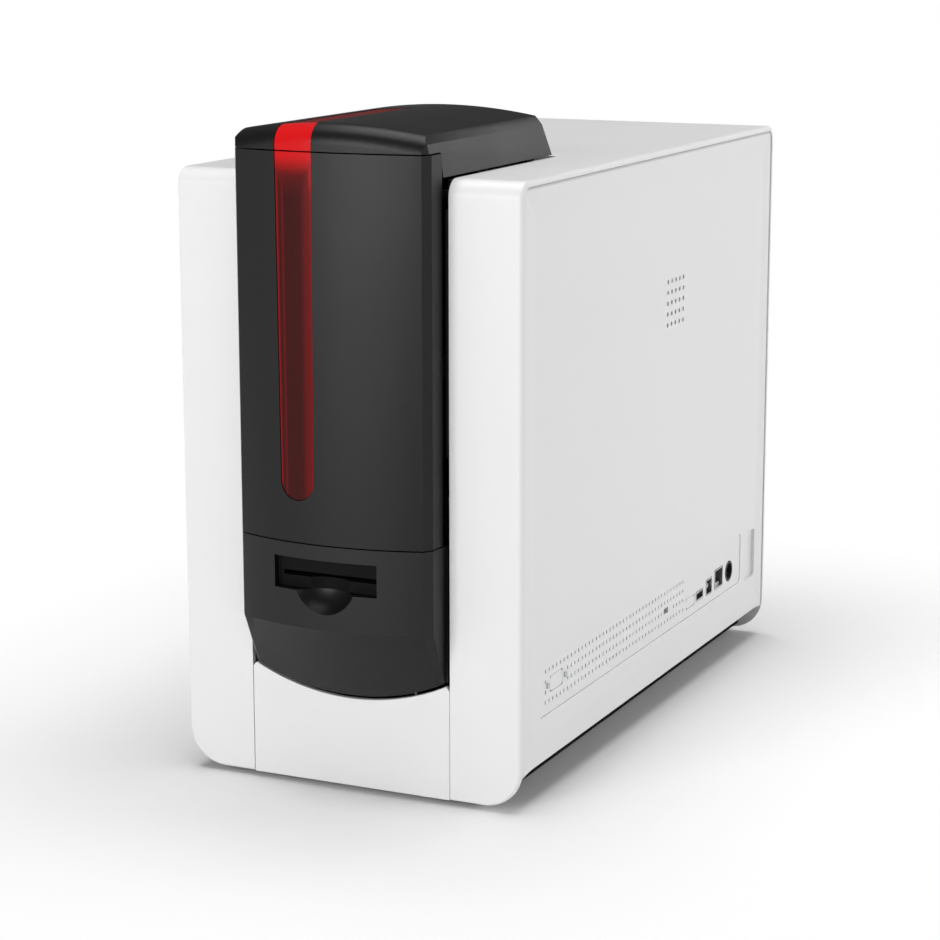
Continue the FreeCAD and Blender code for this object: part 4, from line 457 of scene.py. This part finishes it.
def panel_finish(name, node, colour):
    """White plastic of a side panel.

    The distance to the panel's outline is the least of four plain distances. It dims a thin line in
    the seam with painted shade, where the seam's shadow falls, and lowers the flat middle by a very
    shallow dish.
    """
    finish = Finish(name, colour, PLASTIC_ROUGHNESS)
    cloud, fine = finish.noise(CLOUD, CLOUD_DETAIL), finish.noise(WHITE_GRAIN)
    low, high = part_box(node)
    y, z = finish.axis("Y"), finish.axis("Z")
    border = (y - low.y).least(high.y - y).least((z - low.z).least(high.z - z))
    # Painted shade: a thin dark line along the panel's outline, where the seam's shadow falls
    seam_painted_shade_mask = 1.0 - border.above(PAINTED_SEAM_WIDTH, PAINTED_SEAM_SOFT)
    dish = border.above(DISH_BORDER, DISH_SOFT)
    shade = finish.mix(cloud, dimmed(colour, 1.0 - WHITE_SPREAD), colour)
    finish.set(
        base_color=finish.mix(PAINTED_SEAM_STRENGTH * seam_painted_shade_mask, shade, PAINTED_SEAM_SHADE),
        roughness=PLASTIC_ROUGHNESS - CLOUD_GLOSS / 2 + CLOUD_GLOSS * cloud)
    finish.bump(DISH_GRAIN * fine - dish, DISH_DEPTH)
    return finish.material


def bezel_finish(colours):
    """The tower's plastic, with a dark matt shade on the walls of the card slot's recess.

    That shade is painted: it stands in for the shadow inside the recess. It fills a box: its sides
    are distances from the recess's middle in x and z, and it starts a little behind the bezel's
    front face in y.
    """
    finish = Finish("bezel_black", colours.tower, PLASTIC_ROUGHNESS, specular=0.31)
    cloud, fine = finish.noise(CLOUD, CLOUD_DETAIL), finish.noise(BLACK_GRAIN)
    finish.set(roughness=PLASTIC_ROUGHNESS + CLOUD_GLOSS * cloud).bump(fine, BLACK_DEPTH)
    x, y, z = finish.axis("X"), finish.axis("Y"), finish.axis("Z")
    # Painted shade: the dark matt shader is blended in over the recess's walls, where their shadow
    # falls
    beside = abs(x - RECESS_MIDDLE).above(RECESS_HALF, RECESS_SOFT).most(
        abs(z - RECESS_HEIGHT).above(RECESS_RISE, RECESS_SOFT))
    inside = (1.0 - beside) * y.above(RECESS_FRONT, RECESS_FRONT_SOFT)
    painted_recess_shade = finish.add("ShaderNodeBsdfPrincipled", sockets=RECESS_PAINTED_SHADE)
    finish.surface("Material Output", finish.blend(inside, finish.own_shader(), painted_recess_shade))
    return finish.material


# Plastics and rubbers of the small and inner pieces: name, colour, roughness, and the grain's width
# and depth
PLASTICS = {
    "foot": ("foot_rubber", (0.02, 0.02, 0.02), 0.75, 0.8 * MM, 0.05 * MM),
    "roller": ("roller_rubber", (0.05, 0.05, 0.055), 0.7, 0.7 * MM, 0.03 * MM),
    "belt": ("belt_rubber", (0.015, 0.015, 0.015), 0.65, 1.5 * MM, 0.08 * MM),
    "dark": ("socket_black", (0.015, 0.015, 0.016), 0.45, 0.3 * MM, 0.01 * MM),
    "motor": ("motor_black", (0.03, 0.03, 0.032), 0.35, 1.0 * MM, 0.02 * MM),
    "gear": ("gear_acetal", (0.72, 0.70, 0.64), 0.4, 0.8 * MM, 0.01 * MM),
    "grey": ("inner_grey", (0.075, 0.08, 0.09), 0.45, 0.7 * MM, 0.02 * MM),
    "ribbon": ("ribbon_film", (0.02, 0.02, 0.03), 0.15, 0.2 * MM, 0.01 * MM),
    "head": ("head_ceramic", (0.22, 0.2, 0.18), 0.3, 0.5 * MM, 0.01 * MM),
    "fan": ("fan_black", (0.02, 0.02, 0.02), 0.4, 0.6 * MM, 0.015 * MM),
}

# Metals: name, colour, roughness, and how fine the streaks are along x, y and z
METALS = {
    "socket": ("socket_shell", (0.55, 0.55, 0.56), 0.32, (4000.0, 300.0, 300.0)),
    "steel": ("zinc_steel", (0.56, 0.57, 0.58), 0.38, (300.0, 60.0, 2500.0)),
    "magnet": ("magnet_plating", (0.35, 0.35, 0.36), 0.3, (900.0, 900.0, 900.0)),
    "pulley": ("pulley_aluminium", (0.62, 0.62, 0.64), 0.3, (2500.0, 200.0, 200.0)),
}


class Kit:
    """The materials, made once."""

    made = {}

    @classmethod
    def get(cls, name):
        if not cls.made:
            cls.fill(bpy.context.scene.printer_sizes, bpy.context.scene.printer_colours)
        return cls.made[name]

    @classmethod
    def fill(cls, sizes, colours):
        made = cls.made
        made["casing"] = moulded(
            "casing_white", colours.casing, PLASTIC_ROUGHNESS, WHITE_GRAIN, WHITE_DEPTH,
            spread=WHITE_SPREAD)
        for side in ("left", "right"):
            made[f"{side}_panel"] = panel_finish(
                f"{side}_panel_white", f"{side}_side_panel", colours.casing)
        made["tower"] = moulded(
            "tower_black", colours.tower, PLASTIC_ROUGHNESS, BLACK_GRAIN, BLACK_DEPTH,
            spread=0.08, specular=0.26)
        made["bezel"] = bezel_finish(colours)
        made["tray"] = moulded(
            "tray_black", (0.006, 0.006, 0.006), roughness=0.75, grain=0.6 * MM, depth=0.02 * MM,
            specular=0.08)
        made["stripe"] = stripe_finish(sizes, colours)
        made["board"] = moulded(
            "board_green", (0.012, 0.10, 0.035), roughness=0.3, grain=1.2 * MM, depth=0.03 * MM,
            spread=0.3)
        for key, row in PLASTICS.items():
            made[key] = moulded(*row)
        for key, row in METALS.items():
            made[key] = steel(*row)


def paint(nodes, finish):
    """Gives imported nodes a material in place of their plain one."""
    for name in nodes:
        mesh = frame["nodes"][name].data
        mesh.materials.clear()
        mesh.materials.append(Kit.get(finish))


def new_piece(name, mesh, body, finish):
    """Puts a finished mesh in the scene as a piece that rides on a body."""
    piece = bpy.data.objects.new(name, mesh)
    bpy.context.collection.objects.link(piece)
    mesh.materials.clear()
    mesh.materials.append(Kit.get(finish))
    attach(piece, body)
    return piece


def rounded_copy(node, finish, edge, steps=EDGE_STEPS):
    """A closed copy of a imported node, its flat areas joined and its sharp edges rounded.

    The copy takes the node's place. The Bevel modifier rounds each sharp edge by an arc that is as
    wide as the edge size, and the normals follow the large faces.
    """
    mesh = frame["nodes"][node].data.copy()
    grid = bmesh.new()
    grid.from_mesh(mesh)
    bmesh.ops.remove_doubles(grid, verts=grid.verts, dist=WELD)
    bmesh.ops.dissolve_limit(grid, angle_limit=FLAT_TURN, verts=grid.verts, edges=grid.edges)
    grid.to_mesh(mesh)
    grid.free()
    mesh.shade_smooth()
    piece = new_piece(f"{node}_form", mesh, BODY_OF[node], finish)
    bevel = piece.modifiers.new("edges", "BEVEL")
    bevel.width = edge
    bevel.segments = steps
    bevel.limit_method = "ANGLE"
    bevel.angle_limit = SHARP_TURN
    bevel.miter_outer = "MITER_ARC"
    normals = piece.modifiers.new("normals", "WEIGHTED_NORMAL")
    normals.mode = "FACE_AREA"
    normals.weight = LARGE_FACE_WEIGHT
    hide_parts(node)


class PRINTER_OT_casing(bpy.types.Operator):
    """Casing: hood, front panel, side panels, rear panel, base tray and feet."""

    bl_idname = "printer.casing"
    bl_label = "Casing"

    def execute(self, context):
        edge = context.scene.printer_sizes.shell_edge
        for node in ("casing_hood", "lower_front_panel"):
            rounded_copy(node, "casing", edge)
        paint(("rear_panel",), "casing")
        for side in ("left", "right"):
            rounded_copy(f"{side}_side_panel", f"{side}_panel", PANEL_ROUNDER * edge, PANEL_STEPS)
        rounded_copy("base_tray", "tray", edge)
        rounded_copy("rubber_feet", "foot", edge)
        return {"FINISHED"}


class PRINTER_OT_tower(bpy.types.Operator):
    """Black tower: door, lower bezel, cover, frame and the door's magnet."""

    bl_idname = "printer.tower"
    bl_label = "Tower"

    def execute(self, context):
        edge = context.scene.printer_sizes.tower_edge
        rounded_copy("front_door", "tower", edge)
        rounded_copy("lower_bezel", "bezel", edge)
        rounded_copy("top_cover", "tower", edge)
        paint(("tower_frame",), "tower")
        paint(("door_magnet",), "magnet")
        return {"FINISHED"}


class PRINTER_OT_stripe(bpy.types.Operator):
    """Red window stripe on the door and over the cover."""

    bl_idname = "printer.stripe"
    bl_label = "Stripe"

    def execute(self, context):
        for node in ("door_window", "cover_window"):
            rounded_copy(node, "stripe", context.scene.printer_sizes.small_edge)
        return {"FINISHED"}


class PRINTER_OT_sockets(bpy.types.Operator):
    """Port strip with its blanking plates and sockets, the screws and the hinge pins."""

    bl_idname = "printer.sockets"
    bl_label = "Sockets"

    def execute(self, context):
        edge = context.scene.printer_sizes.small_edge
        paint(("port_strip",), "casing")
        rounded_copy("blanking_plates", "casing", edge)
        for node in ("usb_host_socket", "usb_device_socket", "network_socket"):
            rounded_copy(node, "socket", edge)
        rounded_copy("power_socket", "dark", edge)
        paint(("screws", "hinge_pins"), "steel")
        return {"FINISHED"}


class PRINTER_OT_inside(bpy.types.Operator):
    """Everything inside: chassis, rollers, belts, motors, gears, hopper, ribbon, board and fan."""

    bl_idname = "printer.inside"
    bl_label = "Inside"

    def execute(self, context):
        nodes = frame["nodes"]
        paint(("board_bracket", "left_chassis_plate", "right_chassis_plate", "chassis_tie_bars",
               "head_bracket"), "steel")
        paint(("main_board",), "board")
        paint([name for name in nodes if "roller" in name], "roller")
        paint([name for name in nodes if name.endswith("_belt")], "belt")
        paint([name for name in nodes if name.endswith("_motor")], "motor")
        paint([name for name in nodes if name.endswith("_motor_pulley")], "pulley")
        paint(("ribbon_pinion",), "pulley")
        paint(("idler_gear",), "gear")
        paint(("card_hopper", "card_weight", "feed_guide", "exit_guide", "flipper",
               "ribbon_cartridge"), "grey")
        paint(("ribbon_supply_spool", "ribbon_takeup_spool"), "ribbon")
        paint(("print_head",), "head")
        paint(("fan_frame", "fan_rotor"), "fan")
        return {"FINISHED"}


def make_floor(colour):
    """A pale floor that fades to white for the view and for mirrors.

    It is a square of four corners. Its distance from the printer's footprint is the root of the
    squares of how far a point lies outside it in x and in y.
    """
    corners = FLOOR_REACH * np.array(((-1, -1, 0), (1, -1, 0), (1, 1, 0), (-1, 1, 0)))
    mesh = bpy.data.meshes.new("floor")
    mesh.from_pydata(corners, [], [(0, 1, 2, 3)])
    floor = bpy.data.objects.new("floor", mesh)
    bpy.context.collection.objects.link(floor)
    ground = Finish("floor_pale", colour, FLOOR_ROUGHNESS, specular=0.2)
    speck = ground.noise(FLOOR_SPECK, detail=3.0)
    ground.set(roughness=FLOOR_ROUGHNESS + FLOOR_SPECK_GLOSS * speck).bump(speck, FLOOR_SPECK_DEPTH)
    beside, along = (
        (abs(ground.axis(name)) - half).most(0.0) for name, half in FOOTPRINT.items())
    distance = (beside * beside + along * along).root()
    view, mirror = ground.seen()
    pale = view.most(mirror) * distance.above(FADE_DISTANCE, FADE_SOFT)
    white = ground.add("ShaderNodeEmission", sockets=WHITE)
    ground.surface("Material Output", ground.blend(pale, ground.own_shader(), white))
    mesh.materials.append(ground.material)


def make_sky(scene):
    """A world that is white to the view and to mirrors near the ground, and dim as light."""
    world = bpy.data.worlds.new("studio")
    scene.world = world
    world.use_nodes = True
    sky = Nodes(world.node_tree)
    toward = sky.add("ShaderNodeTexCoord", out="Generated")
    height = sky.add("ShaderNodeSeparateXYZ", sockets={0: toward}, out="Z")
    low = 1.0 - height.above(HORIZON, HORIZON_SOFT)
    view, mirror = sky.seen()
    dim = sky.add("ShaderNodeBackground", sockets=WORLD_LIGHT)
    white = sky.add("ShaderNodeBackground", sockets=WHITE)
    sky.surface("World Output", sky.blend(view.most(mirror * low), dim, white))


def make_lamp(name, place, size, watts):
    """A soft oblong lamp that faces the middle of the printer."""
    data = bpy.data.lights.new(name, "AREA")
    data.shape = "RECTANGLE"
    data.size, data.size_y = size
    data.energy = watts
    light = bpy.data.objects.new(name, data)
    bpy.context.collection.objects.link(light)
    light.location = place
    light.rotation_euler = (Vector(LAMP_AIM) - Vector(place)).to_track_quat("-Z", "Y").to_euler()


def make_view(scene, sizes):
    """The camera that takes the picture."""
    view = bpy.data.cameras.new("view")
    view.lens = sizes.camera_lens
    view.sensor_width = sizes.camera_sensor
    camera = bpy.data.objects.new("view", view)
    bpy.context.collection.objects.link(camera)
    camera.location = sizes.camera_place
    camera.rotation_euler = Euler(sizes.camera_turn)
    scene.camera = camera


class PRINTER_OT_stage(bpy.types.Operator):
    """Pale floor, white world, soft lamps and the view."""

    bl_idname = "printer.stage"
    bl_label = "Stage"

    def execute(self, context):
        scene = context.scene
        make_floor(scene.printer_colours.floor)
        make_sky(scene)
        for row in LAMPS:
            make_lamp(*row)
        make_view(scene, scene.printer_sizes)
        scene.view_settings.view_transform = "Standard"
        return {"FINISHED"}


class PRINTER_PT_pieces(bpy.types.Panel):
    """Lists the printer's groups of pieces."""

    bl_label = "Printer"
    bl_space_type = "VIEW_3D"
    bl_region_type = "UI"
    bl_category = "Printer"

    def draw(self, context):
        for operator in BUILDERS:
            self.layout.operator(operator.bl_idname)


BUILDERS = (
    PRINTER_OT_casing, PRINTER_OT_tower, PRINTER_OT_stripe, PRINTER_OT_sockets,
    PRINTER_OT_inside, PRINTER_OT_stage)
CLASSES = (Sizes, Colours) + BUILDERS + (PRINTER_PT_pieces,)


def register():
    """Makes the classes and the scene's settings known to Blender."""
    for item in CLASSES:
        bpy.utils.register_class(item)
    bpy.types.Scene.printer_sizes = bpy.props.PointerProperty(type=Sizes)
    bpy.types.Scene.printer_colours = bpy.props.PointerProperty(type=Colours)


def unregister():
    """Takes the classes and settings away again."""
    del bpy.types.Scene.printer_colours
    del bpy.types.Scene.printer_sizes
    for item in reversed(CLASSES):
        bpy.utils.unregister_class(item)


def main():
    """Builds everything in order."""
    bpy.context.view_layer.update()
    register()
    bpy.ops.printer.casing()
    bpy.ops.printer.tower()
    bpy.ops.printer.stripe()
    bpy.ops.printer.sockets()
    bpy.ops.printer.inside()
    bpy.ops.printer.stage()


if __name__ == "__main__":
    main()
